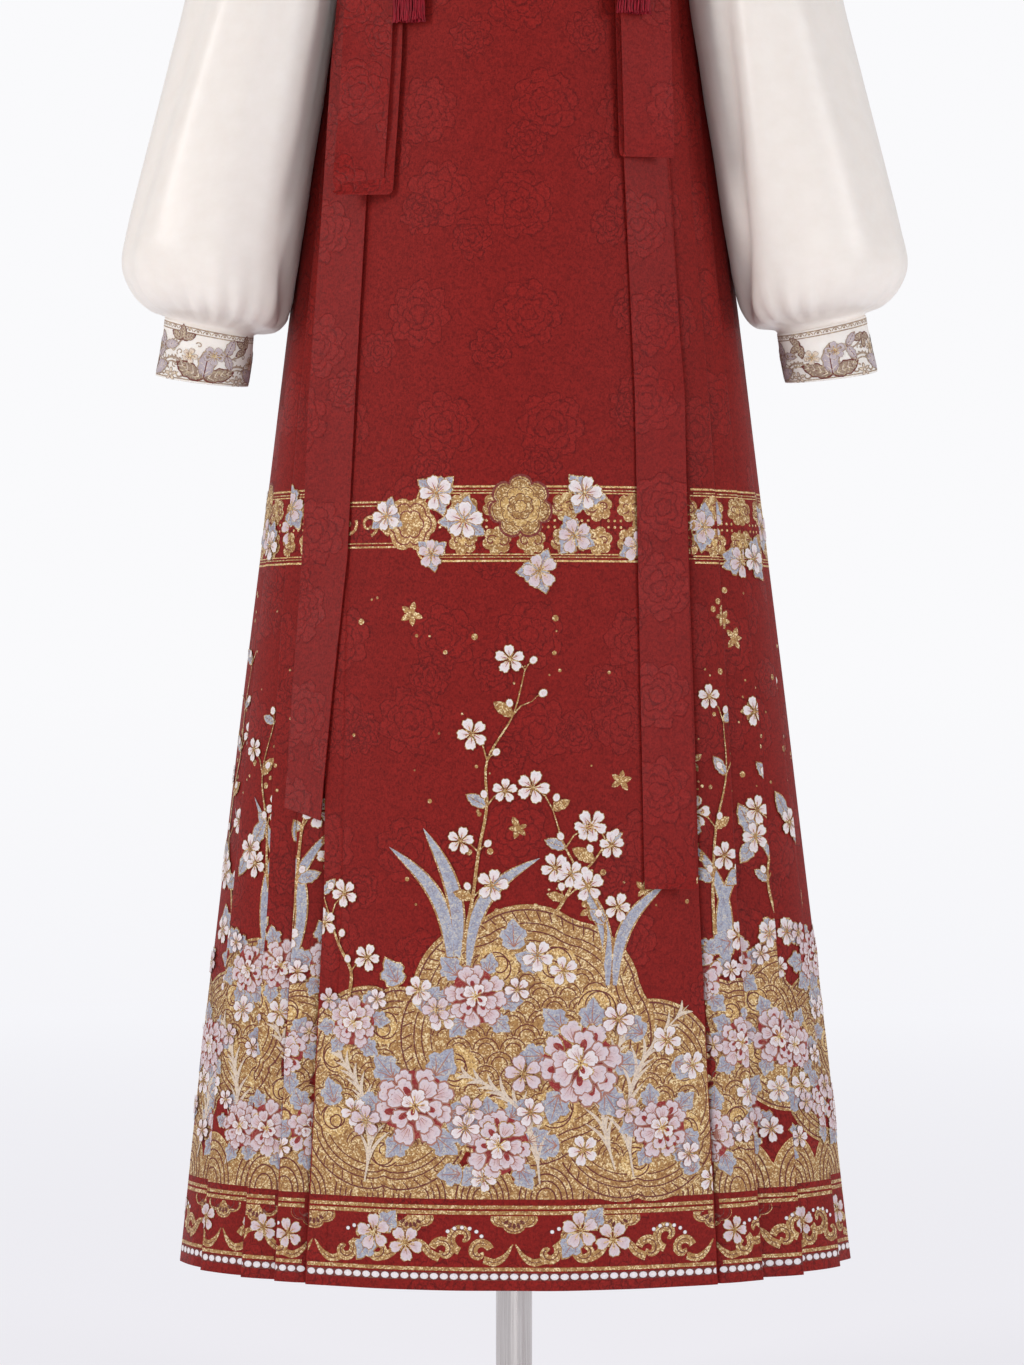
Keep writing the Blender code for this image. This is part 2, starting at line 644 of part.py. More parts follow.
def build_knot(side, finish):
    """A flat rounded knot in front of the band's lower edge."""
    centre = skirt_point_at_x(KNOT_Z, KNOT_X[side], -KNOT_LIFT)
    turn = math.atan2(centre[0], -centre[1])
    mesh = bpy.data.meshes.new("tie_knot_" + side)
    form = bmesh.new()
    bmesh.ops.create_uvsphere(form, u_segments=KNOT_AROUND, v_segments=8, radius=1.0)
    for vertex in form.verts:
        x, y, z = (math.copysign(abs(c) ** 0.6, c) * half for c, half in zip(vertex.co, KNOT_HALF))
        vertex.co = (centre[0] + x * math.cos(turn) - y * math.sin(turn),
                     centre[1] + x * math.sin(turn) + y * math.cos(turn), centre[2] + z)
    form.to_mesh(mesh)
    form.free()
    mesh.shade_smooth()
    mesh.materials.append(finish)
    made = bpy.data.objects.new("tie_knot_" + side, mesh)
    bpy.context.scene.collection.objects.link(made)


def build_tassel(side, loop, finish):
    """A flattened tassel: strands drawn out of the underside of its head, and a cord above it."""
    tip = TASSEL_TIP_Z[side]
    root = tip + TASSEL_LENGTH
    left, _, right = ribbon_row(loop, tip)
    turn = math.atan2(right[1] - left[1], right[0] - left[0])
    x = TASSEL_X[side]
    plane_y = max(min(left[1] + (x - left[0]) * math.tan(turn), right[1]), left[1])
    nearest = min(plane_y, outline_y(tip, x, 0.002))
    middle = np.array([x, nearest - TASSEL_STAND[side], root])
    along = np.array([math.cos(turn), math.sin(turn), 0.0])
    deep = np.array([-math.sin(turn), math.cos(turn), 0.0])
    form = bmesh.new()

    def place(u, v, z):
        return tuple(middle + along * u + deep * v + np.array([0, 0, z - root]))

    columns, layers = TASSEL_COLUMNS, TASSEL_LAYERS
    root_half, root_deep = TASSEL_HALF_WIDTH * 0.62, TASSEL_HALF_DEPTH * 0.8
    grid = [[form.verts.new(place(root_half * (2 * c / columns - 1), root_deep * (2 * k / layers - 1), root))
             for c in range(columns + 1)] for k in range(layers + 1)]
    cells = []
    for k in range(layers):
        for c in range(columns):
            cells.append(form.faces.new((grid[k][c], grid[k + 1][c], grid[k + 1][c + 1], grid[k][c + 1])))
    border = grid[0] + [row[-1] for row in grid[1:]] + grid[-1][-2::-1] + [row[0] for row in grid[-2:0:-1]]
    below = border
    for shape in TASSEL_HEAD:
        ring = []
        for vertex in border:
            offset = np.array(vertex.co) - middle
            u, v = float(offset @ along), float(offset @ deep)
            ring.append(form.verts.new(place(u * shape.width, v * shape.depth, root + shape.rise)))
        for i in range(len(ring)):
            j = (i + 1) % len(ring)
            form.faces.new((below[i], below[j], ring[j], ring[i]))
        below = ring
    form.faces.new(below)
    for number, cell in enumerate(cells):
        home = cell.calc_center_median()
        u, v = (np.array(home) - middle) @ along, (np.array(home) - middle) @ deep
        ragged = 0.0035 * ((number * 7) % 5) / 5
        spread_u = u / root_half * TASSEL_HALF_WIDTH - u
        spread_v = v / root_deep * TASSEL_HALF_DEPTH - v
        bmesh.ops.inset_individual(form, faces=[cell], thickness=0.0, use_even_offset=False)
        for vertex in cell.verts:
            offset = np.array(vertex.co) - np.array(home)
            place_at = (np.array(home) + offset * STRAND_SHARE + along * spread_u + deep * spread_v
                        - np.array([0, 0, TASSEL_LENGTH - ragged]))
            vertex.co = tuple(place_at)
    bmesh.ops.recalc_face_normals(form, faces=form.faces)
    mesh = bpy.data.meshes.new("tassel_" + side)
    form.to_mesh(mesh)
    form.free()
    mesh.materials.append(finish)
    made = bpy.data.objects.new("tassel_" + side, mesh)
    bpy.context.scene.collection.objects.link(made)


def build_strap(side, sign, finish):
    """A narrow strap from the band's front over the shoulder to the band's back, lying on the blouse."""
    lift = BLOUSE_OUTSIDE + FRONT_LAP + STRAP_LIFT
    level = BAND_TOP_Z + 1.3 * MM
    grid = []
    for x in (STRAP_X - STRAP_HALF_WIDTH, STRAP_X, STRAP_X + STRAP_HALF_WIDTH):
        row = []
        for turn in np.linspace(0, math.pi, STRAP_STEPS):
            z = level + (crest_height(x) - level) * math.sin(turn) ** 0.9
            half_width = smooth_column(FORM_SECTIONS, z, "half_width")
            depth = smooth_column(FORM_SECTIONS, z, "front" if turn < math.pi / 2 else "back")
            y = depth * math.sqrt(max(1 - (x / half_width) ** 2, 0.0))
            row.append(onto_form(np.array([x, -y if turn < math.pi / 2 else y, z]), lift))
        grid.append(row)
    grid = np.array(grid)
    if sign < 0:
        grid = grid[::-1] * np.array([-1, 1, 1])
    return soft_wall("strap_" + side, grid[::-1], TIE_CLOTH, finish)


def crest_height(x):
    """Height of the shoulder's ridge at a distance x from the middle."""
    low, high = 1.40, NECK_TOP_Z
    for _ in range(40):
        middle = (low + high) / 2
        if smooth_column(FORM_SECTIONS, middle, "half_width") > x:
            low = middle
        else:
            high = middle
    return low


def build_form(finish):
    """The dress form: one smooth solid, closed below and at the neck."""
    below = np.linspace(FORM_BOTTOM_Z, BLOUSE_HEM_Z, 4, endpoint=False)
    above = (1.482, 1.495, 1.520, NECK_TOP_Z)
    heights = [*below, *blouse_heights(), *above]
    angles = np.linspace(0, 360, FORM_AROUND, endpoint=False)
    grid = [[over_form(z, angle, -FORM_INSET) for angle in angles] for z in heights]
    add_capped("form_torso", np.array(grid), finish)


def add_capped(name, grid, finish):
    """A closed solid through rings of points, from bottom to top, with flat ends."""
    rows, columns = grid.shape[:2]
    faces = [tuple(range(columns))[::-1], tuple(range((rows - 1) * columns, rows * columns))]
    for r in range(rows - 1):
        for c in range(columns):
            a, b = r * columns + c, r * columns + (c + 1) % columns
            faces.append((a, b, b + columns, a + columns))
    return add_object(name, grid.reshape(-1, 3), faces, finish)


def turned_rings(profile):
    """Rings of points of a turned piece: profile rows are (radius, height)."""
    turns = np.linspace(0, 2 * math.pi, ROUND_SEGMENTS, endpoint=False)
    return np.array([[(radius * math.sin(turn), -radius * math.cos(turn), height) for turn in turns]
                     for radius, height in profile])


def build_turned(name, profile, finish):
    """A solid turned piece: profile rows run from bottom to top."""
    add_capped(name, turned_rings(profile), finish)


def build_stand(steel, jersey):
    build_turned("stand_base", ((BASE_RADIUS, 0.0), (BASE_RADIUS, BASE_HEIGHT - 0.003),
                                (BASE_RADIUS - 0.003, BASE_HEIGHT)), steel)
    collar_bottom = BASE_HEIGHT + SEAM_GAP
    inside = POLE_RADIUS + SEAM_GAP
    ring = ((COLLAR_RADIUS, collar_bottom), (COLLAR_RADIUS, COLLAR_HEIGHT), (COLLAR_RADIUS - 0.005, 0.052),
            (inside, 0.052), (inside, collar_bottom))
    count = ROUND_SEGMENTS
    faces = []
    for r in range(len(ring)):
        after = (r + 1) % len(ring)
        for c in range(count):
            d = (c + 1) % count
            faces.append((r * count + c, r * count + d, after * count + d, after * count + c))
    add_object("stand_collar", turned_rings(ring).reshape(-1, 3), faces, steel)
    pole = ((POLE_RADIUS, BASE_HEIGHT + SEAM_GAP), (POLE_RADIUS, FORM_BOTTOM_Z - SEAM_GAP))
    build_turned("stand_pole", pole, steel)
    cap = ((0.048, NECK_TOP_Z + SEAM_GAP), (0.049, NECK_TOP_Z + 0.005), (0.044, NECK_TOP_Z + 0.012),
           (0.020, NECK_TOP_Z + 0.017), (0.011, NECK_TOP_Z + 0.019), (0.013, NECK_TOP_Z + 0.030),
           (0.008, NECK_TOP_Z + 0.036))
    build_turned("form_neck_cap", cap, jersey)


def build():
    clear_scene()
    red, ribbon = material("red_jacquard", 0.6), material("red_ribbon", 0.55)
    satin, ivory = material("cream_satin", 0.35), material("ivory_cuff", 0.7)
    cord = material("crimson_cord", 0.5)
    steel, jersey = material("brushed_steel", 0.3, 1.0), material("form_jersey", 0.85)
    build_stand(steel, jersey)
    build_form(jersey)
    build_blouse_front("blouse_front_right", 1, FRONT_LAP, satin)
    build_blouse_front("blouse_front_left", -1, 0.0, satin)
    build_blouse_back(satin)
    build_collar(satin)
    for side, sign in (("left", -1), ("right", 1)):
        build_sleeve("sleeve_" + side, sign, satin)
        build_cuff("cuff_" + side, sign, ivory)
    build_panel("skirt_front_panel", 0, red)
    build_panel("skirt_back_panel", 180, red)
    build_pleats("skirt_pleats_right", 1, RIGHT_FOLDS, RIGHT_STEPS, red)
    build_pleats("skirt_pleats_left", -1, LEFT_FOLDS, LEFT_STEPS, red)
    build_band(red)
    for side, sign, tail, loop in (("left", -1, TAIL_LEFT, LOOP_LEFT), ("right", 1, TAIL_RIGHT, LOOP_RIGHT)):
        build_strap(side, sign, ribbon)
        build_knot(side, ribbon)
        build_tail(side, tail, ribbon)
        build_loop(side, loop, ribbon)
        build_tassel(side, loop, cord)


build()
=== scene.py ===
"""Looks of a chest-high pleated skirt with ties and tassels over a full-sleeved blouse, on a form and stand.

Metres, +Z up, the front faces -Y, and the origin is on the floor under the pole. Left is the -X side, as
seen from the front. Each cloth piece follows the outline of the solid that it stands for, with finer rows,
softer folds and its weave. Cloth coordinates are metres along the cloth: u from left to right, v up.
"""

import json
import math
import random
from collections import namedtuple

import bpy
import numpy as np
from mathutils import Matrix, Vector

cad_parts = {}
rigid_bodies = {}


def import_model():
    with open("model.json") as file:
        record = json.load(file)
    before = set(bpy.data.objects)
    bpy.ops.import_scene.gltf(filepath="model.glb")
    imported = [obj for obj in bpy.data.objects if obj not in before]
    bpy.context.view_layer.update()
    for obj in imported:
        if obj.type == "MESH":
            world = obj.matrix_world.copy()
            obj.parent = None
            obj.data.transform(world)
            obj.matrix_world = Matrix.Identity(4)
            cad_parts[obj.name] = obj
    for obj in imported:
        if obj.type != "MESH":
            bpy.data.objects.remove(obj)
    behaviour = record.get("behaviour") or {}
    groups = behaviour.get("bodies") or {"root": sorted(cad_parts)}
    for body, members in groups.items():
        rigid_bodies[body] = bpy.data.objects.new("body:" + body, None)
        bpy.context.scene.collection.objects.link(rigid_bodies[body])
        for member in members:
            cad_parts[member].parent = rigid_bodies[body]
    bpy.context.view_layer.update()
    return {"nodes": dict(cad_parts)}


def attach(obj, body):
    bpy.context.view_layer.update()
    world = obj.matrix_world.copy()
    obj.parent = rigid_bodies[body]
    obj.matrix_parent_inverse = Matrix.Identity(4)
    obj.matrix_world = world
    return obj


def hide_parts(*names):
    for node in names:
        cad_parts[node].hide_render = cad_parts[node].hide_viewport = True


MM = 0.001
for thing in list(bpy.data.objects):
    bpy.data.objects.remove(thing)
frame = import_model()

# Camera and picture
PICTURE = (1024, 1365)
CAMERA_DISTANCE = 3.4
CAMERA_HEIGHT = 0.65
CAMERA_SIDE = -0.0017
METRES_PER_PIXEL = 0.00083

# Skirt: the same driving sizes as the solids
HEM_Z = 0.175
BAND_BOTTOM_Z = 1.278
BAND_TOP_Z = 1.315
HEM_HALF_WIDTH, HEM_HALF_DEPTH = 0.2815, 0.205
TOP_HALF_WIDTH, TOP_HALF_DEPTH = 0.1420, 0.1305
SEAM_GAP = 0.3 * MM
LAYER = 1.55 * MM
SKIRT_CLOTH = 0.8 * MM
BAND_CLOTH = 1.5 * MM
BLOUSE_CLOTH = 0.9 * MM
CUFF_CLOTH = 1.5 * MM
TIE_CLOTH = 0.9 * MM
SKIRT_ROWS = 96
PANEL_COLUMNS = 52
PLEAT_BULGE = 0.7 * MM

Folds = namedtuple("Folds", "z panel first second third fourth")
RIGHT_FOLDS = (
    Folds(0.175, 34.9, 45.1, 55.8, 71.0, 84.0),
    Folds(0.480, 37.0, 46.8, 58.4, 73.5, 85.5),
    Folds(0.700, 40.5, 50.5, 61.1, 74.5, 86.0),
    Folds(0.880, 44.2, 53.5, 63.0, 75.0, 86.5),
    Folds(1.070, 46.6, 55.6, 65.0, 76.0, 87.0),
    Folds(1.278, 51.5, 60.0, 68.5, 77.5, 87.0),
)
LEFT_FOLDS = (
    Folds(0.175, 35.9, 42.8, 51.1, 64.5, 80.0),
    Folds(0.480, 38.3, 46.0, 54.0, 69.5, 83.5),
    Folds(0.700, 43.0, 50.0, 60.0, 74.0, 86.0),
    Folds(0.880, 45.5, 53.0, 63.0, 75.0, 86.5),
    Folds(1.070, 47.5, 56.0, 65.5, 76.0, 87.0),
    Folds(1.278, 51.0, 59.5, 68.5, 77.5, 87.0),
)
Steps = namedtuple("Steps", "z first second third fourth side share")
RIGHT_STEPS = (
    Steps(0.175, 4.0, 15.0, 14.0, 17.0, 17.0, 0.38),
    Steps(0.700, 3.2, 8.5, 8.0, 10.0, 11.0, 0.45),
    Steps(1.278, 2.0, 3.4, 3.4, 3.4, 4.0, 0.55),
)
LEFT_STEPS = (
    Steps(0.175, 7.0, 8.0, 9.0, 10.0, 14.0, 0.38),
    Steps(0.500, 11.0, 8.0, 7.0, 8.0, 11.0, 0.42),
    Steps(1.278, 2.0, 3.4, 3.4, 3.4, 4.0, 0.55),
)
SIDE_FOLDS = {"left": LEFT_FOLDS, "right": RIGHT_FOLDS}
SIDE_STEPS = {"left": LEFT_STEPS, "right": RIGHT_STEPS}
SIDE_SIGN = {"left": -1, "right": 1}

# Slow waves in the hanging cloth, all of them inwards: reach in metres at the hem and above it
Wave = namedtuple("Wave", "length phase lean share")
WAVES = (
    Wave(0.118, 0.15, 0.10, 0.45),
    Wave(0.071, 0.60, -0.16, 0.30),
    Wave(0.203, 0.35, 0.05, 0.25),
)
WAVE_AT_HEM = 3.2 * MM
WAVE_ABOVE = 0.9 * MM
DRAWN_BELOW_Z = 1.20

# Dress form, blouse and sleeves
Section = namedtuple("Section", "z half_width front back")
FORM_SECTIONS = (
    Section(0.860, 0.138, 0.098, 0.104),
    Section(0.930, 0.150, 0.104, 0.112),
    Section(1.000, 0.138, 0.096, 0.102),
    Section(1.080, 0.116, 0.088, 0.086),
    Section(1.150, 0.119, 0.098, 0.088),
    Section(1.220, 0.129, 0.112, 0.098),
    Section(1.275, 0.133, 0.119, 0.104),
    Section(1.315, 0.134, 0.114, 0.108),
    Section(1.360, 0.143, 0.102, 0.106),
    Section(1.400, 0.151, 0.088, 0.098),
    Section(1.428, 0.150, 0.075, 0.087),
    Section(1.446, 0.134, 0.064, 0.078),
    Section(1.460, 0.102, 0.057, 0.070),
    Section(1.472, 0.070, 0.053, 0.062),
    Section(1.484, 0.054, 0.050, 0.056),
    Section(1.520, 0.050, 0.048, 0.052),
    Section(1.550, 0.050, 0.048, 0.052),
)
NECK_TOP_Z = 1.550
FORM_CLEARANCE = 2.2 * MM
BAND_CLEARANCE = 0.9 * MM
BLOUSE_HEM_Z, BLOUSE_NECK_Z = 1.140, 1.474
FRONT_LAP = 2.7 * MM
ARMHOLE_Z, ARMHOLE_HALF_HEIGHT, ARMHOLE_HALF_WIDTH = 1.388, 0.050, 0.046
HEAD_INSET = 0.75 * MM
HEAD_STANDS_OUT = 0.5 * MM
NeckEdge = namedtuple("NeckEdge", "z angle")
NECK_EDGES = (
    NeckEdge(1.140, -34.0),
    NeckEdge(1.272, -32.0),
    NeckEdge(1.335, -22.0),
    NeckEdge(1.400, 2.0),
    NeckEdge(1.425, 14.0),
    NeckEdge(1.446, 25.0),
    NeckEdge(1.460, 35.0),
    NeckEdge(1.474, 66.0),
)
COLLAR_WIDTH = 0.028
COLLAR_TOP_Z = 1.475
COLLAR_RISE_SHARE = 0.62
COLLAR_STEPS = 110
COLLAR_START = -0.67
COLLAR_OVERLAP_LIFT = 1.4 * MM
COLLAR_LIFT = 3.1 * MM
BLOUSE_LIFT = FORM_CLEARANCE + 0.5 * MM
BLOUSE_OUTSIDE = FORM_CLEARANCE + 1.0 * MM
BODY_CLEARANCE = 1.7 * MM
SLEEVE_LEAN = 5.0 * MM

Ring = namedtuple("Ring", "x y z tilt half_width half_depth")
SLEEVE_RINGS = (
    Ring(0.1690, -0.003, 1.3780, 20, 0.0560, 0.053),
    Ring(0.1850, -0.010, 1.3480, 46, 0.0610, 0.060),
    Ring(0.1985, -0.024, 1.2900, 74, 0.0600, 0.068),
    Ring(0.2040, -0.043, 1.2165, 86, 0.0625, 0.074),
    Ring(0.2180, -0.043, 1.1500, 90, 0.0655, 0.077),
    Ring(0.2345, -0.041, 1.0800, 91, 0.0675, 0.080),
    Ring(0.2470, -0.038, 1.0200, 90, 0.0700, 0.081),
    Ring(0.2525, -0.036, 0.9880, 86, 0.0700, 0.080),
    Ring(0.2520, -0.035, 0.9650, 82, 0.0640, 0.073),
    Ring(0.2510, -0.034, 0.9520, 80, 0.0530, 0.058),
    Ring(0.2520, -0.034, 0.9468, 79, 0.0375, 0.030),
)
TUCK_RING = Ring(0.2530, -0.034, 0.9400, 79, 0.0345, 0.0255)
# How far the lower end of each sleeve and cuff hangs from the common rings
SLEEVE_SHIFT = {"left": (-0.0022, 0.0, -0.0030), "right": (0.0, 0.0, 0.0)}
CUFF_SHIFT = {"left": (-0.0042, 0.0, -0.0040), "right": (0.0, 0.0, -0.0008)}
CUFF_RINGS = (
    Ring(0.2525, -0.034, 0.9465, 78, 0.0365, 0.027),
    Ring(0.2560, -0.035, 0.9250, 80, 0.0370, 0.0275),
    Ring(0.2605, -0.036, 0.9040, 83, 0.0375, 0.028),
)
CUFF_FORWARD_TILT = math.radians(9)
SLEEVE_AROUND = 96
SLEEVE_ROWS_PER_RING = 8

# Sleeve creases: turn in degrees (0 outer side, 270 front), row place from 0 at the head to 10 at the cuff,
# lean in degrees of turn per row, half length in rows, half width in degrees, depth in metres (inwards)
Crease = namedtuple("Crease", "turn row lean half_length half_width depth")
RIGHT_CREASES = (
    Crease(218, 5.2, -7.0, 2.6, 9, 0.0080),
    Crease(240, 4.6, -6.0, 3.0, 13, -0.0040),
    Crease(305, 3.6, 3.0, 3.4, 12, 0.0022),
    Crease(322, 5.6, 2.0, 2.2, 10, -0.0020),
    Crease(196, 7.6, -10.0, 1.2, 10, 0.0060),
    Crease(265, 7.9, 4.0, 0.9, 12, 0.0024),
    Crease(20, 4.5, 2.0, 3.0, 14, 0.0030),
    Crease(95, 5.0, -3.0, 3.0, 14, 0.0036),
    Crease(140, 5.8, 4.0, 2.4, 11, 0.0046),
)
LEFT_CREASES = (
    Crease(300, 4.6, 5.0, 2.8, 13, -0.0036),
    Crease(322, 5.0, 5.0, 2.6, 9, 0.0026),
    Crease(246, 4.8, -2.0, 3.0, 12, 0.0020),
    Crease(200, 7.4, -8.0, 1.5, 11, 0.0070),
    Crease(283, 8.1, 3.0, 0.8, 10, 0.0022),
    Crease(30, 4.8, -2.0, 3.0, 14, 0.0032),
    Crease(80, 5.2, 3.0, 2.8, 13, 0.0034),
    Crease(145, 5.4, -4.0, 2.6, 11, 0.0044),
)
SLEEVE_CREASES = {"left": LEFT_CREASES, "right": RIGHT_CREASES}
SLEEVE_PHASE = {"left": 0.7, "right": 2.1}
GATHERS_AROUND, GATHER_DEPTH = 23, 1.5 * MM
HEAD_PLEATS_AROUND, HEAD_PLEAT_DEPTH = 15, 0.8 * MM
CUFF_ROWS_PER_RING = 8

# Ribbons
RIBBON_WIDTH = 0.041
Ribbon = namedtuple("Ribbon", "z left right lift")
TAILS = {
    "left": (
        Ribbon(1.2542, -0.129, -0.107, 0.0052),
        Ribbon(1.225, -0.141, -0.105, 0.0018),
        Ribbon(1.150, -0.148, -0.112, 0.0016),
        Ribbon(1.030, -0.155, -0.119, 0.0016),
        Ribbon(0.880, -0.165, -0.127, 0.0016),
        Ribbon(0.750, -0.170, -0.133, 0.0016),
        Ribbon(0.640, -0.178, -0.145, 0.0016),
        Ribbon(0.545, -0.184, -0.154, 0.0018),
    ),
    "right": (
        Ribbon(1.2542, 0.091, 0.113, 0.0052),
        Ribbon(1.225, 0.083, 0.117, 0.0018),
        Ribbon(1.150, 0.085, 0.119, 0.0016),
        Ribbon(1.060, 0.088, 0.123, 0.0016),
        Ribbon(0.880, 0.096, 0.136, 0.0016),
        Ribbon(0.700, 0.099, 0.139, 0.0016),
        Ribbon(0.487, 0.103, 0.144, 0.0016),
    ),
}
LOOPS = {
    "left": (
        Ribbon(1.2542, -0.128, -0.106, 0.0122),
        Ribbon(1.225, -0.135, -0.096, 0.0120),
        Ribbon(1.150, -0.138, -0.098, 0.0105),
        Ribbon(1.100, -0.141, -0.101, 0.0100),
        Ribbon(1.040, -0.146, -0.105, 0.0090),
    ),
    "right": (
        Ribbon(1.2542, 0.092, 0.113, 0.0122),
        Ribbon(1.225, 0.084, 0.124, 0.0120),
        Ribbon(1.150, 0.086, 0.126, 0.0105),
        Ribbon(1.070, 0.088, 0.128, 0.0090),
    ),
}
LOOP_BACK_SHIFT = {"left": 0.008, "right": -0.004}
LOOP_BACK_LIFT = 0.0046
LOOP_BACK_TOP_LIFT = 0.0088
LOOP_TUCK = 2.2 * MM
LOOP_CORNER = {"left": 0.003, "right": 0.0}
TAIL_END_SLANT = {"left": 0.010, "right": 0.0}
KNOT_Z = 1.2697
KNOT_HALF = (0.021, 0.0085, 0.0152)
KNOT_X = {"left": -0.117, "right": 0.1025}
KNOT_LIFT = 0.0103
TASSEL_X = {"left": -0.084, "right": 0.096}
TASSEL_TIP_Z = {"left": 1.177, "right": 1.183}
TASSEL_STAND = {"left": 0.0070, "right": 0.0059}
TASSEL_LENGTH = 0.060
TASSEL_HALF_WIDTH, TASSEL_HALF_DEPTH = 0.0130, 0.0050
STRAP_HALF_WIDTH = 0.009
STRAP_LIFT = 1.3 * MM
STRAP_X = 0.104

# Heights of the woven design
HEM_ROW_Z = 0.186
HEM_LINE_Z = 0.1915
BORDER_BOTTOM_Z = 0.194
DOUBLE_LINE_Z = (0.2335, 0.2430)
FIELD_Z = 0.246
MIDDLE_BAND_Z = (0.750, 0.803)

# Thread colours, as sRGB: the colour at a motif's heart and at its rim, and how metallic it is
Thread = namedtuple("Thread", "heart rim metal")
THREADS = {
    "gold": Thread((170, 126, 68), (174, 130, 74), 1.0),
    "bright_gold": Thread((204, 162, 98), (210, 170, 106), 1.0),
    "ground": Thread((118, 26, 25), (118, 26, 25), 0.0),
    "shadow": Thread((100, 24, 18), (100, 24, 18), 0.0),
    "lilac": Thread((208, 172, 176), (214, 202, 210), 0.05),
    "white": Thread((222, 196, 196), (232, 226, 229), 0.0),
    "pearl": Thread((242, 236, 238), (226, 218, 222), 0.0),
    "crimson": Thread((128, 10, 16), (148, 24, 28), 0.0),
    "blue_grey": Thread((146, 150, 170), (168, 172, 190), 0.40),
    "cream": Thread((208, 186, 166), (222, 206, 192), 0.30),
    "taupe": Thread((142, 120, 104), (164, 142, 124), 0.3),
    "mauve": Thread((172, 158, 166), (196, 184, 190), 0.0),
    "vein": Thread((152, 92, 80), (168, 112, 96), 0.0),
}
THREAD_NAMES = list(THREADS)


def linear(rgb):
    """sRGB bytes as a linear colour with alpha."""
    return (*(c / 255 / 12.92 if c <= 10 else ((c / 255 + 0.055) / 1.055) ** 2.4 for c in rgb), 1.0)


def column(table, values, name):
    """A table's column at values of its first column, joined by straight lines."""
    ordered = sorted(table, key=lambda row: row[0])
    return np.interp(values, [row[0] for row in ordered], [getattr(row, name) for row in ordered])


def smooth_curve(t, start, end, lead, trail):
    """A place on a smooth curve that leaves its start along lead and reaches its end along trail."""
    return (start * (2 * t ** 3 - 3 * t ** 2 + 1) + lead * (t ** 3 - 2 * t ** 2 + t)
            + end * (3 * t ** 2 - 2 * t ** 3) + trail * (t ** 3 - t ** 2))


def smooth_column(table, value, name):
    """A table's column at one value, on a smooth curve through the rows."""
    keys = np.array([row[0] for row in table])
    entries = np.array([getattr(row, name) for row in table])
    slopes = np.gradient(entries, keys)
    i = int(np.clip(np.searchsorted(keys, value) - 1, 0, len(keys) - 2))
    width = keys[i + 1] - keys[i]
    t = min(max((value - keys[i]) / width, 0.0), 1.0)
    return float(smooth_curve(t, entries[i], entries[i + 1], slopes[i] * width, slopes[i + 1] * width))


def share_of(value):
    """A value kept between 0 and 1."""
    return np.clip(value, 0, 1)


def bell(away):
    """A soft hump: 1 in its middle, and nearly nothing beyond twice its reach."""
    return np.exp(-np.square(away))


def unit(vectors):
    return vectors / np.linalg.norm(vectors, axis=-1, keepdims=True)


def mirrored(points, axis):
    """Points on the other side of the middle: left for right along axis 0, front for back along axis 1."""
    return points * np.where(np.arange(3) == axis, -1, 1)


def running_length(line):
    """Distance along a line of points, from its start."""
    return np.concatenate([[0.0], np.cumsum(np.linalg.norm(np.diff(line, axis=0), axis=1))])


def closed_ring(grid):
    """A grid whose first column is repeated after its last."""
    return np.concatenate([grid, grid[:, :1]], axis=1)


# The skirt's outline


def skirt_axes(z):
    share = (z - HEM_Z) / (BAND_TOP_Z - HEM_Z)
    half_width = HEM_HALF_WIDTH + (TOP_HALF_WIDTH - HEM_HALF_WIDTH) * share
    half_depth = HEM_HALF_DEPTH + (TOP_HALF_DEPTH - HEM_HALF_DEPTH) * share
    return half_width, half_depth


LEVELS = 25
LEVEL_STEP = (BAND_TOP_Z - HEM_Z) / (LEVELS - 1)
TURN_STEP = math.radians(0.5)
TURNS = np.arange(-4, 385) * TURN_STEP
ARC_STEP = 2.0 * MM
ARCS = np.arange(-5, 400) * ARC_STEP


def arcs_at_level(z):
    """Distances round the outline from the middle of the front, one for each of TURNS."""
    half_width, half_depth = skirt_axes(z)
    middles = (TURNS[1:] + TURNS[:-1]) / 2
    steps = np.hypot(half_width * np.cos(middles), half_depth * np.sin(middles)) * TURN_STEP
    arcs = np.concatenate([[0.0], np.cumsum(steps)])
    return arcs - np.interp(0.0, TURNS, arcs)


ARC_TABLE = np.array([arcs_at_level(HEM_Z + LEVEL_STEP * k) for k in range(LEVELS)])
TURN_TABLE = np.array([np.interp(ARCS, arcs, TURNS) for arcs in ARC_TABLE])


def looked_up(table, z, keys, first, step):
    """Values of a table of levels and even keys, between its entries."""
    rows = np.clip((z - HEM_Z) / LEVEL_STEP, 0, LEVELS - 1.001)
    places = np.clip((keys - first) / step, 0, table.shape[1] - 1.001)
    k, j = rows.astype(int), places.astype(int)
    up, on = rows - k, places - j
    low = table[k, j] * (1 - on) + table[k, j + 1] * on
    high = table[k + 1, j] * (1 - on) + table[k + 1, j + 1] * on
    return low * (1 - up) + high * up


def arc_of(degrees, z):
    return looked_up(ARC_TABLE, z, np.radians(degrees), TURNS[0], TURN_STEP)


def sway(arc, z):
    """How far the slow waves of the hanging cloth draw it in."""
    reach = WAVE_ABOVE + (WAVE_AT_HEM - WAVE_ABOVE) * share_of((0.62 - z) / 0.42) ** 1.4
    reach = reach * share_of((DRAWN_BELOW_Z - z) / 0.2)
    total = sum(w.share * (0.5 + 0.5 * np.sin(math.tau * (arc / w.length + w.phase + w.lean * z * 10)))
                for w in WAVES)
    return reach * total


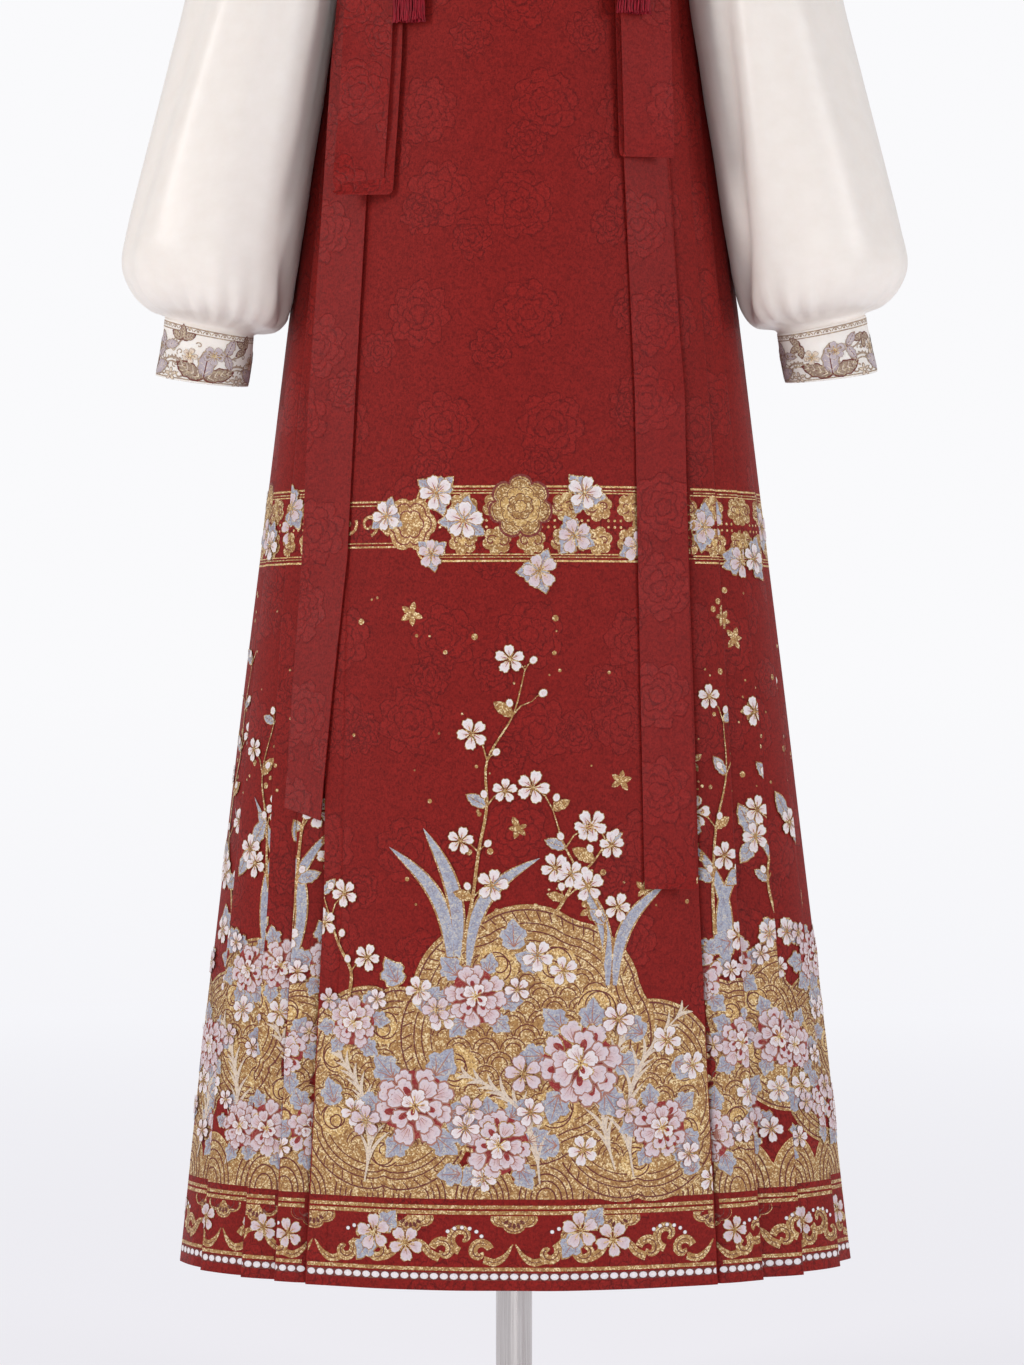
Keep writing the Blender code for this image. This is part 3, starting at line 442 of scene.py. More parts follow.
def hanging(z, arc, depth):
    """Points of the skirt at arc distances from the middle of the front, positive to the +X side, and at
    depths inwards from its outline."""
    z, arc, depth = np.broadcast_arrays(np.asarray(z, float), arc, depth)
    turns = looked_up(TURN_TABLE, z, np.abs(arc), ARCS[0], ARC_STEP) * np.sign(arc)
    half_width, half_depth = skirt_axes(z)
    nx, ny = np.sin(turns) * half_depth, -np.cos(turns) * half_width
    inwards = (depth + sway(arc, z)) / np.hypot(nx, ny)
    x = half_width * np.sin(turns) - nx * inwards
    y = -half_depth * np.cos(turns) - ny * inwards
    return np.stack([x, y, z], axis=-1)


def panel_edge(side, z):
    return arc_of(column(SIDE_FOLDS[side], z, "panel"), z)


def skirt_heights():
    return np.linspace(HEM_Z, BAND_BOTTOM_Z - SEAM_GAP, SKIRT_ROWS)


# Meshes


def add_mesh(name, points, faces, finish, loops=None, smooth_angle=50):
    """An object from points and faces, with cloth coordinates given for each face corner."""
    mesh = bpy.data.meshes.new(name)
    faces = faces.tolist() if isinstance(faces, np.ndarray) else faces
    mesh.from_pydata(np.asarray(points, float).tolist(), [], faces)
    if loops is not None:
        layer = mesh.uv_layers.new(name="Cloth")
        layer.data.foreach_set("uv", np.asarray(loops, np.float32).ravel())
    mesh.shade_smooth()
    if smooth_angle:
        mesh.set_sharp_from_angle(angle=math.radians(smooth_angle))
    mesh.materials.append(finish)
    made = bpy.data.objects.new(name, mesh)
    bpy.context.scene.collection.objects.link(made)
    return made


def grid_normals(grid, closed):
    if closed:
        across = np.roll(grid, -1, axis=1) - np.roll(grid, 1, axis=1)
    else:
        across = np.gradient(grid, axis=1)
    return unit(np.cross(across, np.gradient(grid, axis=0)))


def ring_faces(rows, around):
    """Quads between the rings of a tube of points, each ring counted round from the same side."""
    faces = []
    for low in range(0, (rows - 1) * around, around):
        high = low + around
        faces += [(low + c, low + (c + 1) % around, high + (c + 1) % around, high + c) for c in range(around)]
    return faces


def cloth(name, grid, thickness, finish, coords=None, closed=False):
    """A thin cloth shell centred on a grid of points: rows from bottom to top, columns from left to right as
    seen from outside. coords are its cloth coordinates, one more column than the grid where it is closed."""
    grid = np.asarray(grid, float)
    rows, columns = grid.shape[:2]
    if coords is None:
        coords = measured(grid, closed)
    shift = grid_normals(grid, closed) * thickness / 2
    points = np.concatenate([(grid + shift).reshape(-1, 3), (grid - shift).reshape(-1, 3)])
    inside = rows * columns
    spans = columns if closed else columns - 1
    wide = coords.shape[1]
    r, c = np.meshgrid(np.arange(rows - 1), np.arange(spans), indexing="ij")
    r, c = r.ravel(), c.ravel()
    a, b = r * columns + c, r * columns + (c + 1) % columns
    ca, cb = r * wide + c, r * wide + (c + 1 if closed or wide > spans else c)
    outer = np.stack([a, b, b + columns, a + columns], axis=1)
    inner = np.stack([a, a + columns, b + columns, b], axis=1) + inside
    outer_coords = np.stack([ca, cb, cb + wide, ca + wide], axis=1)
    inner_coords = np.stack([ca, ca + wide, cb + wide, cb], axis=1)
    faces, corners = [outer, inner], [outer_coords, inner_coords]
    c = np.arange(spans)
    for row, turned in ((0, False), (rows - 1, True)):
        a, b = row * columns + c, row * columns + (c + 1) % columns
        rim = np.stack([a, a + inside, b + inside, b], axis=1)
        ca, cb = row * wide + c, row * wide + c + 1
        rim_coords = np.stack([ca, ca, cb, cb], axis=1)
        faces.append(rim[:, ::-1] if turned else rim)
        corners.append(rim_coords[:, ::-1] if turned else rim_coords)
    if not closed:
        r = np.arange(rows - 1)
        for col, turned in ((0, False), (columns - 1, True)):
            a, b = r * columns + col, (r + 1) * columns + col
            rim = np.stack([a, b, b + inside, a + inside], axis=1)
            ca, cb = r * wide + col, (r + 1) * wide + col
            rim_coords = np.stack([ca, cb, cb, ca], axis=1)
            faces.append(rim[:, ::-1] if turned else rim)
            corners.append(rim_coords[:, ::-1] if turned else rim_coords)
    faces, corners = np.concatenate(faces), np.concatenate(corners)
    loops = coords.reshape(-1, 2)[corners.ravel()]
    return add_mesh(name, points, faces, finish, loops)


def measured(grid, closed):
    """Cloth coordinates of a grid, measured along its middle row and its middle column."""
    ring = closed_ring(grid) if closed else grid
    u = running_length(ring[grid.shape[0] // 2])
    v = running_length(ring[:, grid.shape[1] // 2])
    return np.stack(np.meshgrid(u, v), axis=-1)


def carried(piece, node=None):
    """Puts a piece on the part's one body, in the place of a node if one is named."""
    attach(piece, "root")
    if node:
        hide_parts(node)


def dress(node, grid, thickness, finish, coords=None, closed=False):
    """The cloth of a node, with the cut that its surface needs."""
    grid = np.asarray(grid, float)
    piece = cloth(node + "_cloth", grid, thickness, finish, coords, closed)
    carried(piece, node)
    return piece


# Shader building


class Nodes:
    """Adds nodes to a tree. Their inputs are given as values, or as sockets to link."""

    def __init__(self, tree):
        self.tree = tree

    def give(self, socket, value):
        if isinstance(value, bpy.types.NodeSocket):
            self.tree.links.new(value, socket)
        else:
            socket.default_value = value

    def put(self, kind, inputs=None, **settings):
        node = self.tree.nodes.new(kind)
        for key, value in settings.items():
            setattr(node, key, value)
        for key, value in (inputs or {}).items():
            self.give(node.inputs[key], value)
        return node

    def maths(self, operation, *values):
        return self.put("ShaderNodeMath", dict(enumerate(values)), operation=operation).outputs[0]

    def vector(self, operation, first, second=None):
        """A sum of vectors, or a vector's scale or length."""
        inputs = {0: first}
        if second is not None:
            inputs["Scale" if operation == "SCALE" else 1] = second
        made = self.put("ShaderNodeVectorMath", inputs, operation=operation)
        return made.outputs["Value" if operation == "LENGTH" else 0]

    def blend(self, share, first, second):
        node = self.put("ShaderNodeMix", {0: share, 6: first, 7: second}, data_type="RGBA")
        return node.outputs[2]

    def spread(self, value, low, high, to_low=0.0, to_high=1.0):
        """A value mapped from one range to another, kept inside it."""
        inputs = {0: value, 1: low, 2: high, 3: to_low, 4: to_high}
        return self.put("ShaderNodeMapRange", inputs, clamp=True).outputs[0]

    def noise(self, place, scale, detail, **more):
        """A noise texture's value; its colour is the next output."""
        inputs = {"Vector": place, "Scale": scale, "Detail": detail, **more}
        return self.put("ShaderNodeTexNoise", inputs).outputs[0]

    def noise_colour(self, place, scale, detail):
        return self.put("ShaderNodeTexNoise", {"Vector": place, "Scale": scale, "Detail": detail}).outputs[1]

    def cells(self, place, scale, randomness):
        inputs = {"Vector": place, "Scale": scale, "Randomness": randomness}
        return self.put("ShaderNodeTexVoronoi", inputs, voronoi_dimensions="2D").outputs

    def parts(self, vector):
        return self.put("ShaderNodeSeparateXYZ", {0: vector}).outputs

    def cloth_place(self):
        return self.put("ShaderNodeUVMap", uv_map="Cloth").outputs[0]

    def object_place(self):
        return self.put("ShaderNodeTexCoord").outputs["Object"]

    def attribute(self, name, output):
        return self.put("ShaderNodeAttribute", attribute_name=name).outputs[output]

    def group(self, group, **values):
        inputs = {key.replace("_", " "): value for key, value in values.items()}
        return self.put("ShaderNodeGroup", inputs, node_tree=group).outputs


def new_group(name, inputs, outputs):
    """An empty shader node group of plain numbers: its nodes, what it is given and what it puts out."""
    group = bpy.data.node_groups.new(name, "ShaderNodeTree")
    for label, value in inputs.items():
        group.interface.new_socket(label, in_out="INPUT", socket_type="NodeSocketFloat").default_value = value
    for label in outputs:
        group.interface.new_socket(label, in_out="OUTPUT", socket_type="NodeSocketFloat")
    nodes = Nodes(group)
    return nodes, nodes.put("NodeGroupInput").outputs, nodes.put("NodeGroupOutput").inputs


def weave_group():
    """Fine twill and uneven yarn on the cloth coordinates."""
    add, given, out = new_group("cloth_weave", {"Rib width": 0.7 * MM, "Lean": 0.9},
                                ("Height", "Yarn", "Mottle", "Fleck"))
    place = add.cloth_place()
    parts = add.parts(place)
    slanted = add.maths("ADD", parts[0], add.maths("MULTIPLY", parts[1], given["Lean"]))
    rib = add.maths("SINE", add.maths("MULTIPLY", add.maths("DIVIDE", slanted, given["Rib width"]), math.tau))
    yarn = add.noise(add.vector("MULTIPLY", place, (760.0, 420.0, 1.0)), 1.0, 2.0)
    slow = add.noise(place, 60.0, 4.0, Roughness=0.62)
    fleck = add.noise(place, 380.0, 2.0, Distortion=1.2)
    add.give(out["Height"], add.maths("ADD", add.maths("MULTIPLY", rib, 0.5), yarn))
    add.give(out["Yarn"], add.spread(yarn, 0.3, 0.7))
    add.give(out["Mottle"], add.spread(slow, 0.3, 0.7))
    add.give(out["Fleck"], add.spread(fleck, 0.44, 0.64))
    return add.tree


# Rings of petals in a damask bloom: radius, how many petals, turn
BloomRing = namedtuple("BloomRing", "radius petals turn")
DAMASK_RINGS = (
    BloomRing(0.0065, 3, 0.3),
    BloomRing(0.0120, 5, 0.9),
    BloomRing(0.0180, 6, 0.1),
    BloomRing(0.0245, 8, 0.6),
)


def damask_group():
    """Tone-on-tone blooms and leaves, woven into the ground: lines round petals, and their faces."""
    add, given, out = new_group("damask", {"Spacing": 0.085}, ("Lines", "Faces"))
    place = add.cloth_place()
    bend = add.vector("ADD", add.noise_colour(place, 120.0, 3.0), (-0.5, -0.5, -0.5))
    moved = add.vector("ADD", place, add.vector("SCALE", bend, 0.0100))
    scale = add.maths("DIVIDE", 1.0, given["Spacing"])
    lines, faces = 0.0, 0.0
    for shift, size, randomness in (((0.0, 0.0, 0.0), 1.0, 0.35), ((0.043, 0.037, 0.0), 0.62, 0.75)):
        placed = add.vector("ADD", moved, shift)
        cells = add.cells(placed, scale, randomness)
        offset = add.vector("SUBTRACT", placed, cells["Position"])
        parts, reach = add.parts(offset), add.vector("LENGTH", offset)
        tint = add.put("ShaderNodeSeparateColor", {0: cells["Color"]}).outputs[0]
        bearing = add.maths("ARCTAN2", parts[1], parts[0])
        turn = add.maths("ADD", bearing, add.maths("MULTIPLY", tint, math.tau))
        for ring in DAMASK_RINGS:
            wave = add.maths("COSINE", add.maths("MULTIPLY_ADD", turn, ring.petals / 2, ring.turn))
            lobe = add.maths("POWER", add.maths("ABSOLUTE", wave), 0.55)
            edge = add.maths("MULTIPLY_ADD", lobe, ring.radius * size * 0.34, ring.radius * size * 0.78)
            away = add.maths("ABSOLUTE", add.maths("SUBTRACT", reach, edge))
            lines = add.maths("MAXIMUM", lines, add.spread(away, 0.00035, 0.0009, 1.0, 0.0))
            inside = add.spread(add.maths("SUBTRACT", edge, reach), 0.0, 0.0006)
            faces = add.maths("MAXIMUM", faces, inside)
    add.give(out["Lines"], lines)
    add.give(out["Faces"], faces)
    return add.tree


def glitter_group():
    """Light and dark grains of metallic yarn: random tone, with the light grains also painted glints of the metal."""
    add, given, out = new_group("yarn_grains_and_painted_glints", {"Grain": 0.0010}, ("Light", "Dark", "Height"))
    place = add.cloth_place()
    cells = add.cells(place, add.maths("DIVIDE", 1.0, given["Grain"]), 1.0)
    grain = add.put("ShaderNodeSeparateColor", {0: cells["Color"]}).outputs
    patchy = add.maths("MULTIPLY", add.maths("SUBTRACT", add.noise(place, 150.0, 3.0), 0.5), 0.9)
    mixed = add.maths("ADD", grain[0], patchy)
    add.give(out["Light"], add.spread(mixed, 0.66, 0.95))
    add.give(out["Dark"], add.spread(mixed, 0.36, 0.08))
    add.give(out["Height"], grain[1])
    return add.tree


WEAVE, DAMASK, GRAINS_AND_PAINTED_GLINTS = weave_group(), damask_group(), glitter_group()


class Finish(Nodes):
    """A material under way, with its Principled shader."""

    def __init__(self, name):
        self.material = bpy.data.materials.new(name)
        self.material.use_nodes = True
        super().__init__(self.material.node_tree)
        self.shader = self.tree.nodes["Principled BSDF"]

    def set(self, **values):
        for key, value in values.items():
            self.give(self.shader.inputs[key.replace("_", " ")], value)

    def bump(self, height, strength, distance):
        node = self.put("ShaderNodeBump", {"Height": height, "Strength": strength, "Distance": distance})
        self.set(Normal=node.outputs[0])


FACE_GAIN = 1.12
# Deep red of the painted shade in the hollows beside the pleats' folds
PAINTED_FOLD_SHADE_RED = (46, 7, 8)


def jacquard(name, dark, light, line, roughness, spacing=0.085):
    """Twill ground with tone-on-tone blooms drawn in broken lines, and painted shade in the hollows of the folds."""
    add = Finish(name)
    weave = add.group(WEAVE, Rib_width=1.1 * MM, Lean=0.8)
    damask = add.group(DAMASK, Spacing=spacing)
    colour = add.blend(weave["Mottle"], linear(dark), linear(light))
    raised = add.maths("MULTIPLY", damask["Faces"], 0.30)
    colour = add.blend(raised, colour, linear(tuple(c * FACE_GAIN for c in light)))
    edge = add.maths("MULTIPLY", damask["Lines"], add.maths("MULTIPLY_ADD", weave["Yarn"], 0.55, 0.30))
    colour = add.blend(edge, colour, linear(line))
    grain = add.maths("MULTIPLY_ADD", weave["Fleck"], 0.42, add.maths("MULTIPLY", weave["Yarn"], 0.40))
    colour = add.blend(grain, colour, linear(line))
    # Painted shade: the colour darkens towards deep red in the hollows beside the pleats' folds
    fold = add.maths("MULTIPLY", add.attribute("painted_fold_shade", "Fac"), 0.78)
    gloss = add.maths("MULTIPLY_ADD", damask["Faces"], -0.10, roughness)
    add.set(Base_Color=add.blend(fold, colour, linear(PAINTED_FOLD_SHADE_RED)), Roughness=gloss,
            Sheen_Weight=0.02, Sheen_Roughness=0.4, Specular_IOR_Level=0.14)
    lines = add.maths("MULTIPLY", damask["Lines"], -1.6)
    faces = add.maths("MULTIPLY_ADD", damask["Faces"], 0.8, weave["Height"])
    add.bump(add.maths("ADD", faces, lines), 0.5, 0.16 * MM)
    return add.material


def satin(name, base, shade, roughness):
    add = Finish(name)
    weave = add.group(WEAVE, Rib_width=0.5 * MM, Lean=0.3)
    add.set(Base_Color=add.blend(weave["Mottle"], linear(shade), linear(base)),
            Roughness=add.maths("MULTIPLY_ADD", weave["Yarn"], 0.06, roughness),
            Sheen_Weight=0.10, Specular_IOR_Level=0.5, Anisotropic=0.4,
            Subsurface_Weight=0.04, Subsurface_Radius=(0.01, 0.006, 0.004))
    add.bump(weave["Height"], 0.12, 0.06 * MM)
    return add.material


def brocade(name):
    """Weft threads laid over the ground: their colour comes with each motif, and metal ones get light and dark
    grains, the light ones painted glints.
    """
    add = Finish(name)
    thread, metal = add.attribute("thread", "Color"), add.attribute("metal", "Fac")
    yarn = add.group(GRAINS_AND_PAINTED_GLINTS)
    weave = add.group(WEAVE, Rib_width=0.8 * MM, Lean=0.0)
    # Painted glints: light grains blend the thread colour towards pale gold, most strongly on metal threads
    light = add.maths("MULTIPLY", yarn["Light"], add.maths("MULTIPLY_ADD", metal, 0.74, 0.10))
    dark = add.maths("MULTIPLY", yarn["Dark"], add.maths("MULTIPLY_ADD", metal, 0.52, 0.14))
    colour = add.blend(light, thread, linear((244, 224, 178)))
    add.set(Base_Color=add.blend(dark, colour, linear((116, 62, 36))),
            Metallic=add.maths("MULTIPLY", metal, 0.30),
            Roughness=add.maths("MULTIPLY_ADD", metal, -0.18, 0.62))
    add.bump(add.maths("ADD", weave["Height"], yarn["Height"]), 0.45, 0.14 * MM)
    return add.material


def drawn_out(name, stretch, detail, spread, dark, light, **settings):
    """A finish whose colour runs in streaks along the piece."""
    add = Finish(name)
    noise = add.noise(add.vector("MULTIPLY", add.object_place(), stretch), 1.0, detail)
    add.set(Base_Color=add.blend(add.spread(noise, *spread), linear(dark), linear(light)), **settings)
    return add, noise


def cord_material():
    add, _ = drawn_out("crimson_cord", (2600.0, 2600.0, 120.0), 1.0, (0.35, 0.65), (96, 8, 18), (164, 16, 40),
                       Roughness=0.55, Specular_IOR_Level=0.25)
    return add.material


def jersey_material():
    add = Finish("form_jersey")
    place = add.object_place()
    slow = add.spread(add.noise(place, 14.0, 3.0), 0.3, 0.7)
    add.set(Base_Color=add.blend(slow, linear((214, 206, 194)), linear((230, 224, 214))), Roughness=0.85)
    add.bump(add.noise(place, 900.0, 2.0), 0.3, 0.2 * MM)
    return add.material


def steel_material():
    add, noise = drawn_out("brushed_steel", (900.0, 900.0, 14.0), 3.0, (0.3, 0.7), (186, 180, 178),
                           (216, 212, 210), Metallic=1.0)
    add.set(Roughness=add.spread(noise, 0.2, 0.8, 0.22, 0.38))
    return add.material


RED = jacquard("red_jacquard", (138, 29, 24), (148, 33, 28), (84, 13, 13), 0.62)
RIBBON_RED = jacquard("red_ribbon", (136, 29, 25), (147, 33, 29), (88, 15, 15), 0.44, 0.075)
SATIN = satin("cream_satin", (241, 233, 226), (237, 228, 220), 0.33)
CUFF_GROUND = satin("ivory_cuff", (240, 235, 230), (230, 222, 214), 0.62)
BROCADE = brocade("brocade_threads")
CORD = cord_material()
JERSEY = jersey_material()
STEEL = steel_material()


# Skirt shells


def build_panel(name, back):
    """Front panel, or the back one, which is its mirror image front to back."""
    z = skirt_heights()[:, None]
    left, right = -panel_edge("left", z), panel_edge("right", z)
    near = left + np.array(SEAM_COLUMNS) * MM
    rest = near[:, -1:] + (right - near[:, -1:]) * np.linspace(0, 1, PANEL_COLUMNS)[None, 1:]
    arc = np.concatenate([near, rest], axis=1)
    grid = hanging(z, arc, seam_dip(arc, left) if not back else 0.0)
    coords = np.stack(np.broadcast_arrays(arc, z), axis=-1)
    if back:
        grid, coords = mirrored(grid, 1)[:, ::-1], coords[:, ::-1]
    dress(name, grid, SKIRT_CLOTH, RED, coords)


SEAM_FROM_EDGE = 0.017
SEAM_COLUMNS = (0.0, 5.0, 10.0, 15.2, 16.3, 17.0, 17.7, 18.8, 23.0)


def seam_dip(arc, left):
    """A shallow groove along the seam that runs beside the front panel's left edge."""
    return 0.5 * MM * bell((arc - left - SEAM_FROM_EDGE) / (0.9 * MM))


def pleat_edges(side, z):
    """Arc distances of the five fold edges and the side seam, depths behind them, and the under-lap share."""
    folds, steps = SIDE_FOLDS[side], SIDE_STEPS[side]
    edges = [arc_of(column(folds, z, name), z) for name in Folds._fields[1:]]
    edges.append(arc_of(np.full_like(z, 90.0), z))
    stands = [column(steps, z, name) * MM for name in Steps._fields[1:6]]
    return edges, stands, column(steps, z, "share")


def crevice(away, z, drawn):
    """Extra depth close to the fold that lies over a pleat, where the cloth is drawn in."""
    reach = 0.6 * MM + 4.2 * MM * drawn * share_of((DRAWN_BELOW_Z - z) / 0.30)
    return reach * bell(away / (2.5 * MM))


def hollow(away):
    """How much painted shade a place gets in the hollow beside the fold over it, from 1 at the fold to 0."""
    return bell(away / (2.4 * MM))


def face_depth(share, stand, width, z, drawn):
    """Depth of a pleat's face: share is 0 at its fold and 1 where it comes out from under the next one."""
    bulge = PLEAT_BULGE * np.sin(math.pi * share_of(share)) * np.clip(stand / 0.004, 0.3, 1.0)
    return stand * share - bulge + crevice((1 - share) * width, z, drawn)


# How strongly each pleat is drawn in beside the fold over it, and where its columns of points lie
DRAWN_IN = (1.0, 1.7, 1.1, 1.0, 1.0, 1.0)
FACE_SHARES = (1.0, 0.97, 0.93, 0.86, 0.70, 0.54, 0.40, 0.27, 0.16, 0.08, 0.03, 0.0)
UNDER_SHARES = (0.35, 0.7)
LAST_SHARES = (0.0, 0.12, 0.35, 0.7, 0.97)


def pleat_profile(side, z):
    """Arc, depth, cloth coordinate and painted fold shade across the front half of a pleated side, at each height."""
    edges, stands, under_share = pleat_edges(side, z)
    lead = 0.5 * (edges[1] - edges[0])
    bases = pleat_bases(side)
    line = [(edges[0] - lead, stands[0] + 0.3 * LAYER, bases[0] - lead, 1.0),
            (edges[0] - 0.4 * lead, stands[0] + 0.1 * LAYER + crevice(0.4 * lead, z, DRAWN_IN[1]),
             bases[0] - 0.4 * lead, 1.0)]
    for i in range(1, 5):
        width = edges[i] - edges[i - 1]
        for share in FACE_SHARES:
            line.append((edges[i] - width * share, face_depth(share, stands[i - 1], width, z, DRAWN_IN[i]),
                         bases[i] - width * share, hollow((1 - share) * width)))
        under = under_share * width
        following = edges[i + 1] - edges[i] if i < 4 else width
        inner = np.maximum(stands[i] * (following + under) / following,
                           stands[i - 1] * under_share + 0.5 * MM + 2 * LAYER)
        turn = 0.35 * LAYER
        line += [(edges[i] + turn, 0.25 * LAYER, bases[i] + 0.4 * MM, 0.1),
                 (edges[i] + turn, 0.72 * LAYER, bases[i] + 0.9 * MM, 0.5),
                 (edges[i], LAYER, bases[i] + LAYER, 1.0)]
        line += [(edges[i] - under * s, LAYER + (inner - 2 * LAYER) * s, bases[i] + LAYER + under * s, 1.0)
                 for s in (*UNDER_SHARES, 1.0)]
        line.append((edges[i] - under - turn, inner - LAYER / 2, bases[i] + LAYER + under + turn, 1.0))
        line += [(edges[i] - under * s, stands[i] + (inner - stands[i]) * s + crevice(under * s, z, DRAWN_IN[i + 1]),
                  bases[i] + LAYER + under * (2 - s), 1.0) for s in (1.0, *UNDER_SHARES[::-1])]
    side_width = edges[5] - edges[4]
    line += [(edges[4] + side_width * s, stands[4], bases[4] + LAYER + 2 * under + side_width * s,
              hollow(side_width * s)) for s in LAST_SHARES]
    return (np.stack([np.broadcast_to(p, z.shape) for p in part], axis=-1) for part in zip(*line))


def pleat_bases(side):
    """Cloth coordinate of each fold: the faces at the hem and what is folded away between them."""
    edges, _, share = pleat_edges(side, np.array([HEM_Z]))
    bases = [0.0]
    for i in range(1, 5):
        width = float(edges[i][0] - edges[i - 1][0])
        bases.append(bases[-1] + width * (1 + 2 * float(share[0]) * (i > 1)))
    return bases


def build_pleats(side, with_pieces):
    """A pleated side: the knife folds turned back from the front, and the same from the back."""
    z = skirt_heights()
    arc, depth, u, dark = pleat_profile(side, z)
    front = hanging(z[:, None], arc, depth)
    grid = np.concatenate([front, mirrored(front, 1)[:, ::-1]], axis=1)
    coords = np.stack([u, np.broadcast_to(z[:, None], u.shape)], axis=-1)
    coords, dark = (np.concatenate([a, a[:, ::-1]], axis=1) for a in (coords, dark))
    if side == "left":
        grid, coords, dark = mirrored(grid, 0)[:, ::-1], coords[:, ::-1], dark[:, ::-1]
    piece = dress("skirt_pleats_" + side, grid, SKIRT_CLOTH, RED, coords)
    # Painted shade for the pleats' cloth: darkest in each fold's hollow and in the parts turned under it
    layer = piece.data.attributes.new("painted_fold_shade", "FLOAT", "POINT")
    layer.data.foreach_set("value", np.tile(dark.ravel(), 2).astype(np.float32))


# Form, blouse and band


def form_half_width(z):
    return smooth_column(FORM_SECTIONS, z, "half_width")


def form_depth(z, front):
    return smooth_column(FORM_SECTIONS, z, "front" if front else "back")


def form_point(z, angle):
    turn = math.radians(angle)
    depth = form_depth(z, math.cos(turn) > 0)
    return np.array([form_half_width(z) * math.sin(turn), -depth * math.cos(turn), z])


def form_normal(z, angle):
    around = form_point(z, angle + 0.5) - form_point(z, angle - 0.5)
    up = form_point(z + 0.5 * MM, angle) - form_point(z - 0.5 * MM, angle)
    return unit(np.cross(around, up))


def over_form(z, angle, lift):
    return form_point(z, angle) + form_normal(z, angle) * lift


def onto_form(point, lift):
    depth = form_depth(point[2], point[1] < 0)
    angle = math.degrees(math.atan2(point[0] / form_half_width(point[2]), -point[1] / depth))
    return over_form(point[2], angle, lift)


BAND_LOWEST_Z = BAND_BOTTOM_Z + 0.35 * MM
BAND_LIFT = BLOUSE_OUTSIDE + FRONT_LAP + BAND_CLEARANCE + BAND_CLOTH / 2


def band_line(z, count, sunk, lift):
    """A level line round the waistband, which goes from the pleats' outline below to the blouse above."""
    share = (z - BAND_LOWEST_Z) / (BAND_TOP_Z - BAND_LOWEST_Z)
    line = []
    for angle in np.linspace(0, 360, count, endpoint=False):
        low = hanging(z, arc_of(abs(angle - 360 * (angle > 180)), z) * (-1 if angle > 180 else 1), sunk)
        point = low + (over_form(z, angle, BAND_LIFT + lift) - low) * share
        point[2] = z
        line.append(point)
    return line


def build_band():
    grid = [band_line(BAND_LOWEST_Z + (BAND_TOP_Z - BAND_LOWEST_Z) * share, 160, 0.0,
                      0.5 * MM * math.sin(math.pi * share)) for share in np.linspace(0, 1, 12)]
    dress("skirt_top_band", grid, BAND_CLOTH, RED,
          closed=True)


def armhole_angle(z, gap):
    depth = form_depth(z, True)
    seam = math.degrees(gap / depth)
    reach = (z - ARMHOLE_Z) / (ARMHOLE_HALF_HEIGHT + gap)
    if abs(reach) >= 1:
        return 90 - seam
    edge = (ARMHOLE_HALF_WIDTH + gap) * math.sqrt(1 - reach ** 2) + gap
    return min(90 - seam, math.degrees(math.acos(min(edge / depth, 0.9))))


def blouse_heights():
    top, bottom = ARMHOLE_Z + ARMHOLE_HALF_HEIGHT, ARMHOLE_Z - ARMHOLE_HALF_HEIGHT
    body = list(np.linspace(BLOUSE_HEM_Z, bottom - 1 * MM, 22))
    beside_hole = [ARMHOLE_Z - ARMHOLE_HALF_HEIGHT * math.cos(t) for t in np.linspace(0.08, math.pi - 0.08, 26)]
    return body + beside_hole + list(np.linspace(top + 1 * MM, BLOUSE_NECK_Z, 12))


def drawn_in(z, angle):
    """Small soft draws where the blouse is held in by the band."""
    return 0.35 * MM * bell((z - 1.24) / 0.05) * math.sin(math.radians(angle) * 17 + z * 60)


def build_blouse_front(side, lap):
    sign = SIDE_SIGN[side]
    grid = []
    for z in blouse_heights():
        row = []
        for angle in np.linspace(float(column(NECK_EDGES, z, "angle")), armhole_angle(z, SEAM_GAP), 40):
            lift = BLOUSE_LIFT + lap * share_of((80 - angle) / 40) + drawn_in(z, angle)
            row.append(over_form(z, sign * angle, lift))
        grid.append(row if sign > 0 else row[::-1])
    dress("blouse_front_" + side, grid, BLOUSE_CLOTH, SATIN)


def build_blouse_back():
    grid = []
    for z in blouse_heights():
        start = 180 - armhole_angle(z, SEAM_GAP)
        grid.append([over_form(z, angle, BLOUSE_LIFT + drawn_in(z, angle))
                     for angle in np.linspace(start, 360 - start, 60)])
    dress("blouse_back", grid, BLOUSE_CLOTH, SATIN)


def build_collar():
    lower = BAND_TOP_Z + 0.018
    neck = float(column(NECK_EDGES, BLOUSE_NECK_Z, "angle"))
    route = []
    for turn in np.linspace(COLLAR_START, 1, COLLAR_STEPS):
        rise = min((1 - abs(turn)) / COLLAR_RISE_SHARE, 1.0)
        z = lower + (COLLAR_TOP_Z - lower) * rise
        if rise < 1:
            angle = float(column(NECK_EDGES, z, "angle"))
        else:
            angle = 180 - (180 - neck) * abs(turn) / (1 - COLLAR_RISE_SHARE)
        route.append((z, math.copysign(angle, angle * turn), turn))
    grid = []
    for across in np.linspace(-0.5, 0.5, 9):
        row = []
        for i, (z, angle, turn) in enumerate(route):
            ahead, behind = route[min(i + 2, len(route) - 1)], route[max(i - 2, 0)]
            along = form_point(*ahead[:2]) - form_point(*behind[:2])
            sideways = unit(np.cross(form_normal(z, angle), along))
            over = (FRONT_LAP + COLLAR_OVERLAP_LIFT) * share_of(turn / 0.1)
            lift = BLOUSE_OUTSIDE + over + COLLAR_LIFT + 0.3 * MM * math.cos(across * math.pi)
            row.append(onto_form(form_point(z, angle) + sideways * across * COLLAR_WIDTH, lift))
        grid.append(row)
    dress("collar_band", grid, BLOUSE_CLOTH, SATIN)


# Sleeves and cuffs


